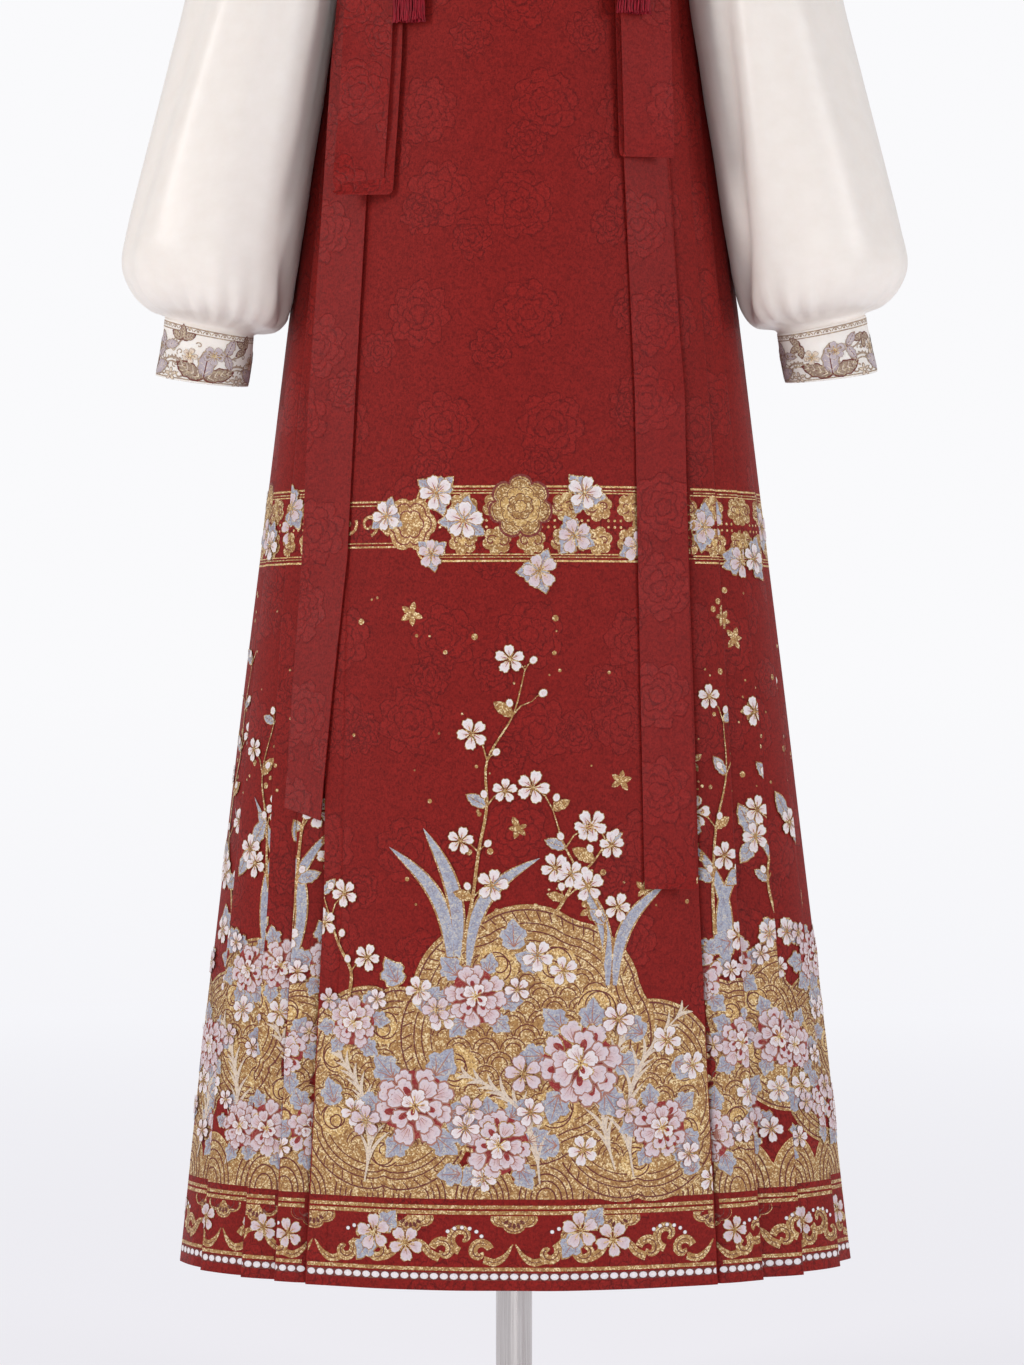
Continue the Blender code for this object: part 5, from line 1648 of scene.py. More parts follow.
def hills(motifs, start, end, height, pitch):
    """A gold ground along the border, scalloped on top, with arcs on each scallop."""
    us = np.arange(start, end, 2.5 * MM)
    bumps = np.abs(np.sin(math.pi * us / pitch)) ** 0.6
    tops = FIELD_Z + height * (0.35 + 0.65 * bumps)
    levels = [np.stack([us, FIELD_Z + (tops - FIELD_Z) * share], axis=1) for share in np.linspace(0, 1, 4)]
    for low, high in zip(levels[:-1], levels[1:]):
        motifs.between(high, low, "gold", 0)
    motifs.stroke(levels[-1], 0.8 * MM, "bright_gold", 1)
    for k in range(int(start / pitch) - 1, int(end / pitch) + 1):
        centre = ((k + 0.5) * pitch, FIELD_Z)
        for share in (0.84, 0.66, 0.48, 0.30):
            line = arc_line(centre, pitch * 0.5 * share, 0, math.pi, 18, height / pitch * 2)
            motifs.stroke(line, 1.2 * MM, "shadow", 2)


CLOUD_PITCH = 0.082


def cloud(motifs, u, hand, layer):
    """A cloud of three thick curls with a tail on each side, and an engraved line along each."""
    z = BORDER_BOTTOM_Z + 0.013
    for du, dz, radius, start, turning in ((-0.015, -0.001, 0.0090, 2.6, 1), (0.014, -0.002, 0.0085, 0.6, -1),
                                           (0.0, 0.009, 0.0105, 4.2, 1)):
        line = curl((u + du * hand, z + dz), radius, start, 1.05, turning * hand)
        motifs.stroke(line, 7.2 * MM, "gold", layer, (0.35, 0.85))
        motifs.stroke(line[4:-2], 1.0 * MM, "shadow", layer + 1, (1.0, 0.5))
    for points, width in ((((0.018, -0.007), (0.026, -0.003), (0.033, 0.005), (0.043, 0.007)), 6.0),
                          (((-0.017, -0.008), (-0.026, -0.010), (-0.034, -0.005), (-0.040, 0.004)), 5.4)):
        line = between_rows([(u - du * hand, z + dz) for du, dz in points], 6)
        motifs.stroke(line, width * MM, "gold", layer, (1.1, 0.15))
        motifs.stroke(line[2:-4], 0.6 * MM, "shadow", layer + 1, (1.0, 0.4))


def pendant(motifs, u, size, layer):
    """A half bloom of scallops that hangs under the double line."""
    top = DOUBLE_LINE_Z[0] - 0.5 * MM
    angles = np.linspace(math.pi, math.tau, 30)
    reach = size * (0.72 + 0.28 * np.abs(np.cos(2.5 * (angles - 1.5 * math.pi))) ** 0.6)
    rim = round_points((u, top), angles, reach, 0.72 * reach)
    motifs.between(rim, np.broadcast_to(np.array([u, top]), rim.shape), "gold", layer)
    for share in (0.88, 0.62):
        line = round_points((u, top), angles, reach * share, 0.72 * reach * share)
        motifs.stroke(line, 0.6 * MM, "shadow", layer + 1)
    for angle in (-2.5, -2.0, -1.57, -1.14, -0.64):
        at = spot(0.42, 0.0, (u, top), angle, size)
        motifs.fan(at, turned(oval((0, 0), 1.0, 0.5, 8), at, angle, size * 0.13), "shadow", layer + 1)


def level_line(motifs, start, end, low, high, thread, layer):
    us = np.arange(start, end + 6 * MM, 6 * MM)
    motifs.between(np.stack([us, np.full_like(us, high)], axis=1), np.stack([us, np.full_like(us, low)], axis=1),
                   thread, layer)


PEARL_PITCH = 7.9 * MM


def border(motifs, start, end):
    """The band above the hem: pearls, a line, clouds with arcs of pearls, pendants, and a double line."""
    level_line(motifs, start, end, HEM_LINE_Z - 1.2 * MM, HEM_LINE_Z + 1.6 * MM, "gold", 0)
    level_line(motifs, start, end, DOUBLE_LINE_Z[0] + 0.5 * MM, DOUBLE_LINE_Z[0] + 3.3 * MM, "gold", 0)
    level_line(motifs, start, end, DOUBLE_LINE_Z[0] + 5.0 * MM, DOUBLE_LINE_Z[0] + 7.6 * MM, "gold", 0)
    level_line(motifs, start, end, HEM_ROW_Z - 3.0 * MM, HEM_ROW_Z + 2.9 * MM, "shadow", 0)
    for k in range(int(start / PEARL_PITCH), int(end / PEARL_PITCH) + 1):
        motifs.dot((k * PEARL_PITCH, HEM_ROW_Z), 3.35 * MM, "pearl", 1, 12, 2.45 * MM)
    for k in range(int(start / CLOUD_PITCH) - 1, int(end / CLOUD_PITCH) + 2):
        u = (k + 0.5) * CLOUD_PITCH
        cloud(motifs, u, 1 if k % 2 else -1, 0)
        pendant(motifs, k * CLOUD_PITCH, 0.019, 0)
        for t in np.linspace(0.55, 2.25, 6):
            at = (u + 0.018 * math.cos(t), BORDER_BOTTOM_Z + 0.016 + 0.014 * math.sin(t))
            motifs.dot(at, 2.0 * MM, "shadow", 1, 8, 1.9 * MM)
            motifs.dot(at, 1.6 * MM, "pearl", 2, 8, 1.5 * MM)


LATTICE_PITCH = 0.0270
SCROLL_PITCH = 0.02
# Lines of the tall stretch's frame, and level lines of the low stretch: how far in or up, and width in mm
FRAME_LINES = ((0.0, 1.5, "bright_gold"), (3.0 * MM, 0.9, "gold"), (5.2 * MM, 0.9, "bright_gold"))
LOW_LINES = ((0.018, 1.4), (0.015, 0.8), (-0.018, 1.4), (-0.015, 0.8))


def band_frame(motifs, left, right, low, high, width, thread):
    """A rectangle with round corners, in short strokes that follow the cloth."""
    corner, line = 0.010, []
    for u, z, first in ((right - corner, high - corner, 0.0), (left + corner, high - corner, 0.5),
                        (left + corner, low + corner, 1.0), (right - corner, low + corner, 1.5)):
        line += list(arc_line((u, z), corner, math.pi * first, math.pi * (first + 0.5), 7))
    line = closed_line(np.array(line))
    for one, two in zip(line[:-1], line[1:]):
        count = max(2, int(np.linalg.norm(two - one) / 0.006))
        motifs.stroke(one + (two - one) * np.linspace(0, 1, count)[:, None], width, thread, 1)


def quatrefoil(motifs, at, k):
    motifs.fan(at, lobed(at, 0.0118, 6, 0.26, 0.3, 30), "gold", 0)
    for hand in (1, -1):
        line = curl((at[0] + 0.0045 * hand, at[1]), 0.0050, 1.5 + k, 1.0, hand, 14)
        motifs.stroke(line, 1.0 * MM, "ground", 1)
    motifs.fan(at, lobed(at, 0.0030, 4, 0.40, 0.0, 12), "bright_gold", 2)


def middle_band(motifs, start, end, wide_from, wide_to):
    """A gold band: a tall framed stretch with a lattice of quatrefoils, and a low scrolled one beside it."""
    low, high = MIDDLE_BAND_Z[0] - 4 * MM, MIDDLE_BAND_Z[1] + 2 * MM
    centre_z = (low + high) / 2
    for inset, width, thread in FRAME_LINES:
        band_frame(motifs, wide_from + inset, wide_to - inset, low + inset, high - inset, width * MM, thread)
    for k in range(int(wide_from / LATTICE_PITCH) - 1, int(wide_to / LATTICE_PITCH) + 2):
        for row in (-1, 1):
            at = ((k + 0.5) * LATTICE_PITCH, centre_z + row * 0.0135)
            if wide_from + 0.012 < at[0] < wide_to - 0.012:
                quatrefoil(motifs, at, k)
        for across in (-0.0052, 0.0, 0.0052):
            for row in (-1, 1):
                at = ((k + 1) * LATTICE_PITCH + across, centre_z + row * 0.0026)
                if wide_from + 0.010 < at[0] < wide_to - 0.010:
                    motifs.dot(at, 1.1 * MM, "bright_gold", 0, 7)
    for first, last in ((start, wide_from + 0.002), (wide_to - 0.002, end)):
        if last - first < 0.01:
            continue
        for up, width in LOW_LINES:
            z = centre_z + up
            level_line(motifs, first, last, z - width / 2 * MM, z + width / 2 * MM, "gold", 0)
        for k in range(int(first / SCROLL_PITCH) - 1, int(last / SCROLL_PITCH) + 2):
            u = k * SCROLL_PITCH
            if first < u < last:
                line = curl((u, centre_z), 0.0088, 2.0 * k, 1.3, 1 if k % 2 else -1)
                motifs.stroke(line, 2.6 * MM, "gold", 0, (0.4, 0.9))
    for u in (wide_from - 0.006, wide_to + 0.006):
        centre = (u, centre_z)
        motifs.fan(centre, lobed(centre, 0.022, 6, 0.22, 0.0, 40), "gold", 4)
        for share in (0.80, 0.52):
            motifs.stroke(closed_line(lobed(centre, 0.022 * share, 6, 0.22, 0.0, 40)), 1.1 * MM, "ground", 5)
    crest(motifs, (wide_from + wide_to) / 2 - 0.012, 6)


CREST_RINGS = ((0.0240, "gold"), (0.0175, "bright_gold"), (0.0110, "gold"), (0.0055, "bright_gold"))


def crest(motifs, u, layer):
    """A gold flower shield that rises over the band."""
    centre = (u, MIDDLE_BAND_Z[1] - 0.014)
    motifs.fan(centre, lobed(centre, 0.0260, 7, 0.18, math.pi / 2, 56), "ground", layer)
    for level, (size, thread) in enumerate(CREST_RINGS):
        turn = math.pi / 2 + level * 0.45
        motifs.fan(centre, lobed(centre, size, 7, 0.22, turn, 56), thread, layer + 1 + 2 * level)
        line = closed_line(lobed(centre, size * 0.93, 7, 0.22, turn, 56))
        motifs.stroke(line, 0.6 * MM, "shadow", layer + 2 + 2 * level)


def dots(motifs, start, end, low, high, count):
    """Gold dots and a few small gold sprigs, scattered."""
    dice = motifs.dice
    for k in range(count):
        at = np.array([dice.uniform(start, end), low + (high - low) * dice.random() ** 1.3])
        motifs.dot(at, dice.choice((0.8, 1.0, 1.0, 1.4, 1.8, 2.6)) * MM, "gold", 0, 9)
        if k % 15 == 4:
            turn = dice.uniform(0, 6)
            for step in range(5):
                leaf(motifs, at, dice.uniform(0.007, 0.010), turn + step * 1.15, 1, "gold")


# Where the front panel's motifs stand: across and up, in metres, and their size
Place = namedtuple("Place", "u z size")
FRONT_MEDALLIONS = (Place(-0.104, 0.330, 0.084), Place(0.098, 0.322, 0.082), Place(0.010, 0.372, 0.104))
FRONT_BOUQUETS = (Place(-0.078, 0.318, 0.031), Place(0.052, 0.352, 0.033), Place(-0.012, 0.288, 0.026),
                  Place(0.118, 0.300, 0.023), Place(-0.130, 0.382, 0.020), Place(-0.030, 0.404, 0.024))
FRONT_SPRAYS = (Place(-0.040, 0.445, 0.215), Place(0.070, 0.430, 0.120), Place(-0.134, 0.402, 0.080),
                Place(0.030, 0.465, 0.060))
FRONT_BLADES = (
    (Place(-0.050, 0.425, 0.0105), (-0.100, 0.520), -0.3),
    (Place(-0.045, 0.430, 0.0115), (-0.072, 0.535), -0.2),
    (Place(-0.036, 0.428, 0.0105), (0.020, 0.512), 0.35),
    (Place(0.080, 0.412, 0.0100), (0.124, 0.492), 0.3),
    (Place(0.074, 0.412, 0.0095), (0.040, 0.506), -0.25),
)
FRONT_FRONDS = (
    (Place(0.095, 0.262, 0.017), (0.142, 0.395), 0.35),
    (Place(0.080, 0.268, 0.015), (0.096, 0.385), 0.30),
    (Place(-0.120, 0.258, 0.015), (-0.146, 0.360), -0.30),
    (Place(0.020, 0.258, 0.014), (-0.045, 0.345), -0.40),
)
FRONT_LEAVES = (Place(-0.075, 0.392, 0.026), Place(-0.092, 0.412, 0.024), Place(0.000, 0.440, 0.026),
                Place(0.022, 0.428, 0.024), Place(0.105, 0.372, 0.026), Place(0.128, 0.352, 0.024),
                Place(-0.146, 0.316, 0.024), Place(0.036, 0.288, 0.026), Place(-0.040, 0.266, 0.022),
                Place(0.146, 0.262, 0.022))
BAND_BLOSSOMS = (Place(-0.062, 0.800, 0.0150), Place(-0.040, 0.778, 0.0165), Place(-0.066, 0.752, 0.0120),
                 Place(0.056, 0.800, 0.0150), Place(0.048, 0.766, 0.0150), Place(0.020, 0.738, 0.0150),
                 Place(-0.104, 0.782, 0.0130), Place(0.100, 0.758, 0.0140))


def front_design(seed, flipped=False):
    """The design of a flat panel, or its like with left and right changed over."""
    motifs = Motifs(seed)
    dice = motifs.dice
    side = -1 if flipped else 1
    border(motifs, -0.20, 0.20)
    hills(motifs, -0.20, 0.20, 0.030, 0.050)
    for k, place in enumerate(FRONT_MEDALLIONS):
        medallion(motifs, (place.u * side, place.z), place.size, (6, 6, 8)[k], 3 + 4 * k)
    for k, place in enumerate(FRONT_SPRAYS):
        spray(motifs, (place.u * side, place.z), place.size, (0.35, -0.30, -0.15, 0.6)[k] * side, 20)
    for place, tip, bend in FRONT_BLADES:
        blade(motifs, (place.u * side, place.z), (tip[0] * side, tip[1]), bend * side, place.size, 15)
    for place, tip, bend in FRONT_FRONDS:
        frond(motifs, (place.u * side, place.z), (tip[0] * side, tip[1]), bend * side, place.size, 17)
    for place in FRONT_LEAVES:
        round_leaf(motifs, (place.u * side, place.z), place.size, dice.uniform(0, 6), 17)
        at = (place.u * side + place.size * 0.7, place.z - 0.004)
        blossom(motifs, at, place.size * 0.52, dice.uniform(0, 6), 20)
    for place in FRONT_BOUQUETS:
        bouquet(motifs, (place.u * side, place.z), place.size, 17)
    for u, z in ((0.052, 0.222), (-0.112, 0.219)):
        round_leaf(motifs, (u * side + 0.006, z + 0.002), 0.020, 0.9, 6)
        round_leaf(motifs, (u * side - 0.002, z - 0.004), 0.022, 4.1, 6)
        blossom(motifs, (u * side, z), 0.0155, 0.4, 10, "lilac", "gold")
        blossom(motifs, (u * side + 0.026, z - 0.008), 0.0150, 1.0, 10, "lilac", "gold")
    wide = (-0.078, 0.112) if side > 0 else (-0.112, 0.078)
    middle_band(motifs, -0.20, 0.20, *wide)
    for place in BAND_BLOSSOMS:
        for turn in (0.6, 2.6, 4.4):
            round_leaf(motifs, (place.u * side, place.z), place.size * 1.25, turn + place.u * 30, 16)
        thread = "lilac" if place.z < 0.77 else "white"
        blossom(motifs, (place.u * side, place.z), place.size, place.u * 90, 20, thread)
    dots(motifs, -0.17, 0.17, 0.47, 0.72, 84)
    return motifs.arrays()


def side_design(seed, width):
    """The design of a pleated side: clustered blooms on gold, with branches and blades rising out of them."""
    motifs = Motifs(seed)
    dice = motifs.dice
    border(motifs, -0.04, width)
    hills(motifs, -0.04, width, 0.040, 0.052)
    for k in range(int(width / 0.105) + 1):
        u = 0.03 + 0.105 * k
        medallion(motifs, (u, 0.345 + 0.03 * (k % 2)), 0.072, 6, 3 + 4 * (k % 2))
        root = (u + dice.uniform(-0.01, 0.01), 0.45)
        spray(motifs, root, dice.uniform(0.16, 0.26), dice.uniform(-0.25, 0.25), 16)
        frond(motifs, (u + 0.03, 0.262), (u + 0.05, 0.380), 0.3, 0.015, 13)
        for bend in (-0.3, 0.3):
            blade(motifs, (u, 0.42), (u + bend * 0.10, 0.53 + dice.uniform(-0.02, 0.03)), bend, 0.0095, 13)
    for k, z in enumerate((0.300, 0.362, 0.424)):
        for j in range(int(width / 0.078) + 1):
            u = 0.078 * j + 0.039 * (k % 2) + dice.uniform(-0.006, 0.006)
            bouquet(motifs, (u, z + dice.uniform(-0.008, 0.008)), dice.uniform(0.019, 0.0235), 13)
            round_leaf(motifs, (u + 0.034, z + 0.02), 0.025, dice.uniform(0, 6), 13)
            blossom(motifs, (u + 0.040, z + 0.024), 0.0125, dice.uniform(0, 6), 16)
    for u in np.arange(0.0, width, 0.055):
        at = (u, dice.uniform(0.48, 0.54))
        leaf(motifs, at, 0.030, dice.uniform(0.8, 2.2), 18)
        leaf(motifs, at, 0.026, dice.uniform(3.5, 5.5), 18)
        blossom(motifs, at, 0.0135, u * 40, 22)
        blossom(motifs, (u + 0.02, dice.uniform(0.212, 0.222)), 0.0125, u * 70, 10, "lilac")
    middle_band(motifs, -0.04, width, -0.02, width - 0.02)
    for u in np.arange(0.0, width, 0.030):
        at = (u, dice.uniform(0.748, 0.812))
        round_leaf(motifs, at, 0.021, dice.uniform(0, 6), 16)
        round_leaf(motifs, at, 0.021, dice.uniform(0, 6), 16)
        blossom(motifs, at, 0.0140, u * 60, 20, "lilac" if dice.random() < 0.5 else "white")
    dots(motifs, 0.0, width, 0.56, 0.73, int(width * 260))
    return motifs.arrays()


def clipped(arrays, limit, keep_below):
    """The motifs on one side of an upright line, with the triangles that cross it cut."""
    corners, threads, layers, shades = arrays
    sign = -1.0 if keep_below else 1.0
    reach = (corners[..., 0] - limit) * sign
    inside = reach >= 0
    count = inside.sum(axis=1)
    out = [[corners[count == 3], threads[count == 3], layers[count == 3], shades[count == 3]]]
    for how_many in (1, 2):
        chosen = count == how_many
        if not chosen.any():
            continue
        lone = np.argmax(inside[chosen] if how_many == 1 else ~inside[chosen], axis=1)
        order = (lone[:, None] + np.arange(3)) % 3
        rows = np.arange(len(lone))[:, None]
        c, s, d = corners[chosen][rows, order], shades[chosen][rows, order], reach[chosen][rows, order]
        t_one, t_two = d[:, 0] / (d[:, 0] - d[:, 1]), d[:, 0] / (d[:, 0] - d[:, 2])
        one = c[:, 0] + (c[:, 1] - c[:, 0]) * t_one[:, None]
        two = c[:, 0] + (c[:, 2] - c[:, 0]) * t_two[:, None]
        s_one, s_two = s[:, 0] + (s[:, 1] - s[:, 0]) * t_one, s[:, 0] + (s[:, 2] - s[:, 0]) * t_two
        if how_many == 1:
            kept = [((c[:, 0], one, two), (s[:, 0], s_one, s_two))]
        else:
            kept = [((one, c[:, 1], c[:, 2]), (s_one, s[:, 1], s[:, 2])),
                    ((one, c[:, 2], two), (s_one, s[:, 2], s_two))]
        for ends, tones in kept:
            out.append([np.stack(ends, axis=1), threads[chosen], layers[chosen], np.stack(tones, axis=1)])
    return [np.concatenate(part) for part in zip(*out)]


def on_panel(arrays, back):
    """Panel motifs cut at the panel's slanting edges, as points and motif arrays."""
    corners, threads, layers, shades = (a.copy() for a in arrays)
    z = corners[..., 1]
    width = np.where(corners[..., 0] < 0, panel_edge("left", z), panel_edge("right", z))
    corners[..., 0] /= width
    arrays = clipped(clipped([corners, threads, layers, shades], 0.994, True), -0.994, False)
    corners, threads, layers, shades = arrays
    z = corners[..., 1]
    width = np.where(corners[..., 0] < 0, panel_edge("left", z), panel_edge("right", z))
    corners[..., 0] *= width
    arc = corners[..., 0]
    lift = SKIRT_CLOTH / 2 + LOWEST_LIFT + LAYER_LIFT * layers[:, None]
    points = hanging(z, arc, -lift)
    if back:
        points = mirrored(points, 1)[:, ::-1]
        corners, shades = corners[:, ::-1], shades[:, ::-1]
    return points, corners, threads, layers, shades, np.zeros_like(shades)


HIDDEN_RUN = 5.0 * MM


def on_pleats(arrays, side, back):
    """The motifs of a pleated side, laid on each face from its fold to just under the next one."""
    found = []
    bases = pleat_bases(side)
    edges, _, share = pleat_edges(side, np.array([HEM_Z]))
    bases.append(bases[4] + float(2 * share[0] * (edges[4] - edges[3])[0] + (edges[5] - edges[4])[0]))
    for i in range(1, 6):
        width_at_hem = float((edges[i] - edges[i - 1])[0])
        part = clipped(arrays, bases[i] - 0.3 * MM, True)
        part = clipped(part, bases[i] - width_at_hem - HIDDEN_RUN, False)
        corners, threads, layers, shades = part
        z = corners[..., 1]
        face_edges, stands, _ = pleat_edges(side, z)
        width = face_edges[i] - face_edges[i - 1]
        away = bases[i] - corners[..., 0]
        shows = (away < width + HIDDEN_RUN).any(axis=1)
        if i == 5:
            shows = (away < width).all(axis=1)
        depth = face_depth(away / width, stands[i - 1], width, z, DRAWN_IN[i]) if i < 5 else stands[4]
        lift = SKIRT_CLOTH / 2 + LOWEST_LIFT + LAYER_LIFT * layers[:, None]
        points = hanging(z, face_edges[i] - away, depth - lift)
        # Painted shade on the motifs in the hollow beside each fold, as on the cloth under them
        dark = hollow(np.maximum(width - away, 0)) * np.ones_like(away)
        found.append([a[shows] for a in (points, corners, threads, layers, shades, dark)])
    points, corners, threads, layers, shades, dark = (np.concatenate(a) for a in zip(*found))
    if back:
        points = mirrored(points, 1)
    if side == "left":
        points = mirrored(points, 0)
    if back != (side == "left"):
        points, corners, shades, dark = points[:, ::-1], corners[:, ::-1], shades[:, ::-1], dark[:, ::-1]
    return points, corners, threads, layers, shades, dark


def thread_colours(threads, shades):
    hearts = np.array([linear(THREADS[name].heart) for name in THREAD_NAMES])
    rims = np.array([linear(THREADS[name].rim) for name in THREAD_NAMES])
    share = shades[..., None]
    return hearts[threads][:, None] * (1 - share) + rims[threads][:, None] * share


# How much the painted fold shade darkens the motifs' colours
PAINTED_FOLD_SHADE_STRENGTH = 0.8


def weave_piece(name, parts):
    """One mesh of all the motifs on a piece of cloth, each motif's corners joined."""
    points, corners, threads, layers, shades, dark = (np.concatenate(a) for a in zip(*parts))
    keys = np.concatenate([np.round(points.reshape(-1, 3) * 1e6), np.repeat(threads, 3)[:, None],
                           np.repeat(layers, 3)[:, None]], axis=1)
    _, first, index = np.unique(keys, axis=0, return_index=True, return_inverse=True)
    faces = index.reshape(-1, 3)
    whole = (faces[:, 0] != faces[:, 1]) & (faces[:, 1] != faces[:, 2]) & (faces[:, 0] != faces[:, 2])
    faces = faces[whole]
    loops = corners[whole].reshape(-1, 2)
    made = add_mesh(name, points.reshape(-1, 3)[first], faces, BROCADE, loops, smooth_angle=0)
    colours = thread_colours(threads[whole], shades[whole])
    # Painted shade: motif colours darkened in the hollows beside the pleats' folds
    colours[..., :3] *= 1 - PAINTED_FOLD_SHADE_STRENGTH * dark[whole][..., None]
    colours = colours.reshape(-1, 4)
    layer = made.data.color_attributes.new("thread", "FLOAT_COLOR", "CORNER")
    layer.data.foreach_set("color", colours.astype(np.float32).ravel())
    metals = np.array([THREADS[n].metal for n in THREAD_NAMES])[threads[whole]]
    metal = made.data.attributes.new("metal", "FLOAT", "FACE")
    metal.data.foreach_set("value", metals.astype(np.float32))
    carried(made)
    return made


# Embroidery of the cuffs


def cuff_size(side):
    """Length round a cuff's lower edge and its height, along the cloth."""
    grid = cuff_grid(side)
    ring = closed_line(grid[0])
    around = np.linalg.norm(np.diff(ring, axis=0), axis=1).sum()
    tall = np.linalg.norm(np.diff(grid, axis=0), axis=2).sum(axis=0).mean()
    return float(around), float(tall)


CUFF_MARGIN = 1.2 * MM


def scallop(motifs, centre, size, layer):
    """A scroll of two arcs over a small bloom."""
    centre = np.array(centre)
    for share, width in ((1.0, 1.9), (0.76, 1.3)):
        line = arc_line(centre, size * share, 0.15, math.pi - 0.15, 22)
        motifs.stroke(line, width * MM, "taupe", layer, (0.5, 0.5))
    for sign in (1, -1):
        line = curl(centre + (sign * size * 0.52, size * 0.12), size * 0.36, 1.2, 1.1, sign, 20)
        motifs.stroke(line, 1.5 * MM, "taupe", layer, (0.5, 1.0))
    for k in range(5):
        petal = turned(oval((size * 0.24, 0), size * 0.19, size * 0.12, 8), centre, 0.4 + math.tau * k / 5)
        middle = petal.mean(axis=0)
        motifs.fan(middle, petal, "taupe", layer)
        motifs.fan(middle, middle + (petal - middle) * 0.6, "cream", layer + 1)
    for k in range(12):
        angle = k * 0.262 + 0.13
        motifs.dot(round_points(centre, angle, size * 1.10, size * 1.10), 0.8 * MM, "taupe", layer, 6)


def cuff_leaf(motifs, place, length, turn, layer, thread):
    rim = turned(LEAF, place, turn, length)
    outline = "shadow" if thread == "taupe" else "taupe"
    motifs.edged(spot(0.5, 0.0, place, turn, length), rim, outline, 1.08, thread, 0.92, layer, shades=(1.0, 0.0))
    veins = ((0.15, 0.14), (0.35, 0.18), (0.55, 0.15), (0.75, 0.09))
    side_veins(motifs, veins, 0.15, place, length, turn, 0.030, "cream", layer + 2)
    middle_vein = turned([(0.0, 0.0), (0.5, 0.02), (0.95, 0.0)], place, turn, length)
    motifs.stroke(middle_vein, length * 0.03, "shadow", layer + 2)


CUFF_GROUPS = 4


def cuff_line(motifs, us, low, high):
    motifs.between(np.stack([us, np.full_like(us, high)], axis=1), np.stack([us, np.full_like(us, low)], axis=1),
                   "taupe", 0)


def cuff_design(side, around, tall):
    """Scrolls and leaves along a cuff's lower edge, sprigs above, and a scalloped trim at its top."""
    motifs = Motifs(71 if side == "left" else 37)
    dice = motifs.dice
    us = np.linspace(0, around, 90)
    trim = tall - 6.5 * MM
    for low in (CUFF_MARGIN, trim, trim + 4.2 * MM):
        cuff_line(motifs, us, low, low + 1.0 * MM)
    count = round(around / 0.0066)
    for k in range(count):
        at = np.array([(k + 0.5) * around / count, trim + 2.6 * MM])
        motifs.stroke(arc_line(at - (0, 1.4 * MM), 2.9 * MM, 0.2, math.pi - 0.2, 9), 0.8 * MM, "taupe", 0)
        motifs.dot(at, 1.1 * MM, "taupe", 0, 7, 0.9 * MM)
    pitch, low = around / CUFF_GROUPS, CUFF_MARGIN + 2.0 * MM
    for k in range(CUFF_GROUPS):
        u = (k + 0.5) * pitch
        scallop(motifs, (u, low + 1.0 * MM), tall * 0.30, 2)
        for turn, length in ((0.35, 0.52), (1.5, 0.58), (2.7, 0.54)):
            cuff_leaf(motifs, (u - pitch * 0.5, low + 1.0 * MM), tall * length, turn, 4,
                      "taupe" if (k + int(turn)) % 2 else "mauve")
        blossom(motifs, (u - pitch * 0.40, low + tall * 0.46), tall * 0.19, k, 8, "mauve", "taupe")
        stem = [(u - 0.010, low + tall * 0.42), (u, low + tall * 0.52), (u + 0.006, low + tall * 0.66)]
        stem = between_rows(stem, 6)
        motifs.stroke(stem, 1.4 * MM, "taupe", 2)
        for turn in (0.5, 1.6, 2.7):
            cuff_leaf(motifs, stem[-1], tall * 0.26, turn + k, 5, "taupe")
        for turn, length in ((0.2, 0.34), (2.2, 0.30), (4.1, 0.30)):
            cuff_leaf(motifs, (u - pitch * 0.22, low + tall * 0.50), tall * length, turn + k, 5, "mauve")
        blossom(motifs, (u + pitch * 0.26, low + tall * 0.40), tall * 0.15, k, 8, "cream", "taupe")
        for _ in range(16):
            at = (u + dice.uniform(-0.5, 0.5) * pitch, low + dice.uniform(0.02, 0.62) * tall)
            line = curl(at, dice.uniform(1.8, 3.2) * MM, dice.uniform(0, 6), 1.0, 1, 12)
            motifs.stroke(line, 0.9 * MM, "taupe", 1)
    return motifs.arrays()


def on_cuff(arrays, side, around, tall):
    """Motifs of a cuff laid round it."""
    corners, threads, layers, shades = arrays
    grid = cuff_grid(side)
    normals = grid_normals(grid, True)
    rows, columns = grid.shape[:2]
    across = corners[..., 0] / around * columns
    up = np.clip(corners[..., 1] / tall, 0.0, 1.0) * (rows - 1.001)
    r, c = np.floor(up).astype(int), np.floor(across).astype(int)
    t, s = (up - r)[..., None], (across - c)[..., None]
    lift = (CUFF_CLOTH / 2 + LOWEST_LIFT + LAYER_LIFT * layers[:, None])[..., None]

    def at(row, col):
        return grid[row, col % columns] + normals[row, col % columns] * lift

    points = ((at(r, c) * (1 - s) + at(r, c + 1) * s) * (1 - t) + (at(r + 1, c) * (1 - s) + at(r + 1, c + 1) * s) * t)
    return points, corners, threads, layers, shades, np.zeros_like(shades)


# Tassels and stitches, from Geometry Nodes


def new_tree(name, numbers):
    """A geometry node tree with a geometry going in and out, and named numbers."""
    tree = bpy.data.node_groups.new(name, "GeometryNodeTree")
    tree.interface.new_socket("Geometry", in_out="INPUT", socket_type="NodeSocketGeometry")
    for label, value in numbers.items():
        tree.interface.new_socket(label, in_out="INPUT", socket_type="NodeSocketFloat").default_value = value
    tree.interface.new_socket("Geometry", in_out="OUTPUT", socket_type="NodeSocketGeometry")
    nodes = Nodes(tree)
    return nodes, nodes.put("NodeGroupInput").outputs, nodes.put("NodeGroupOutput").inputs


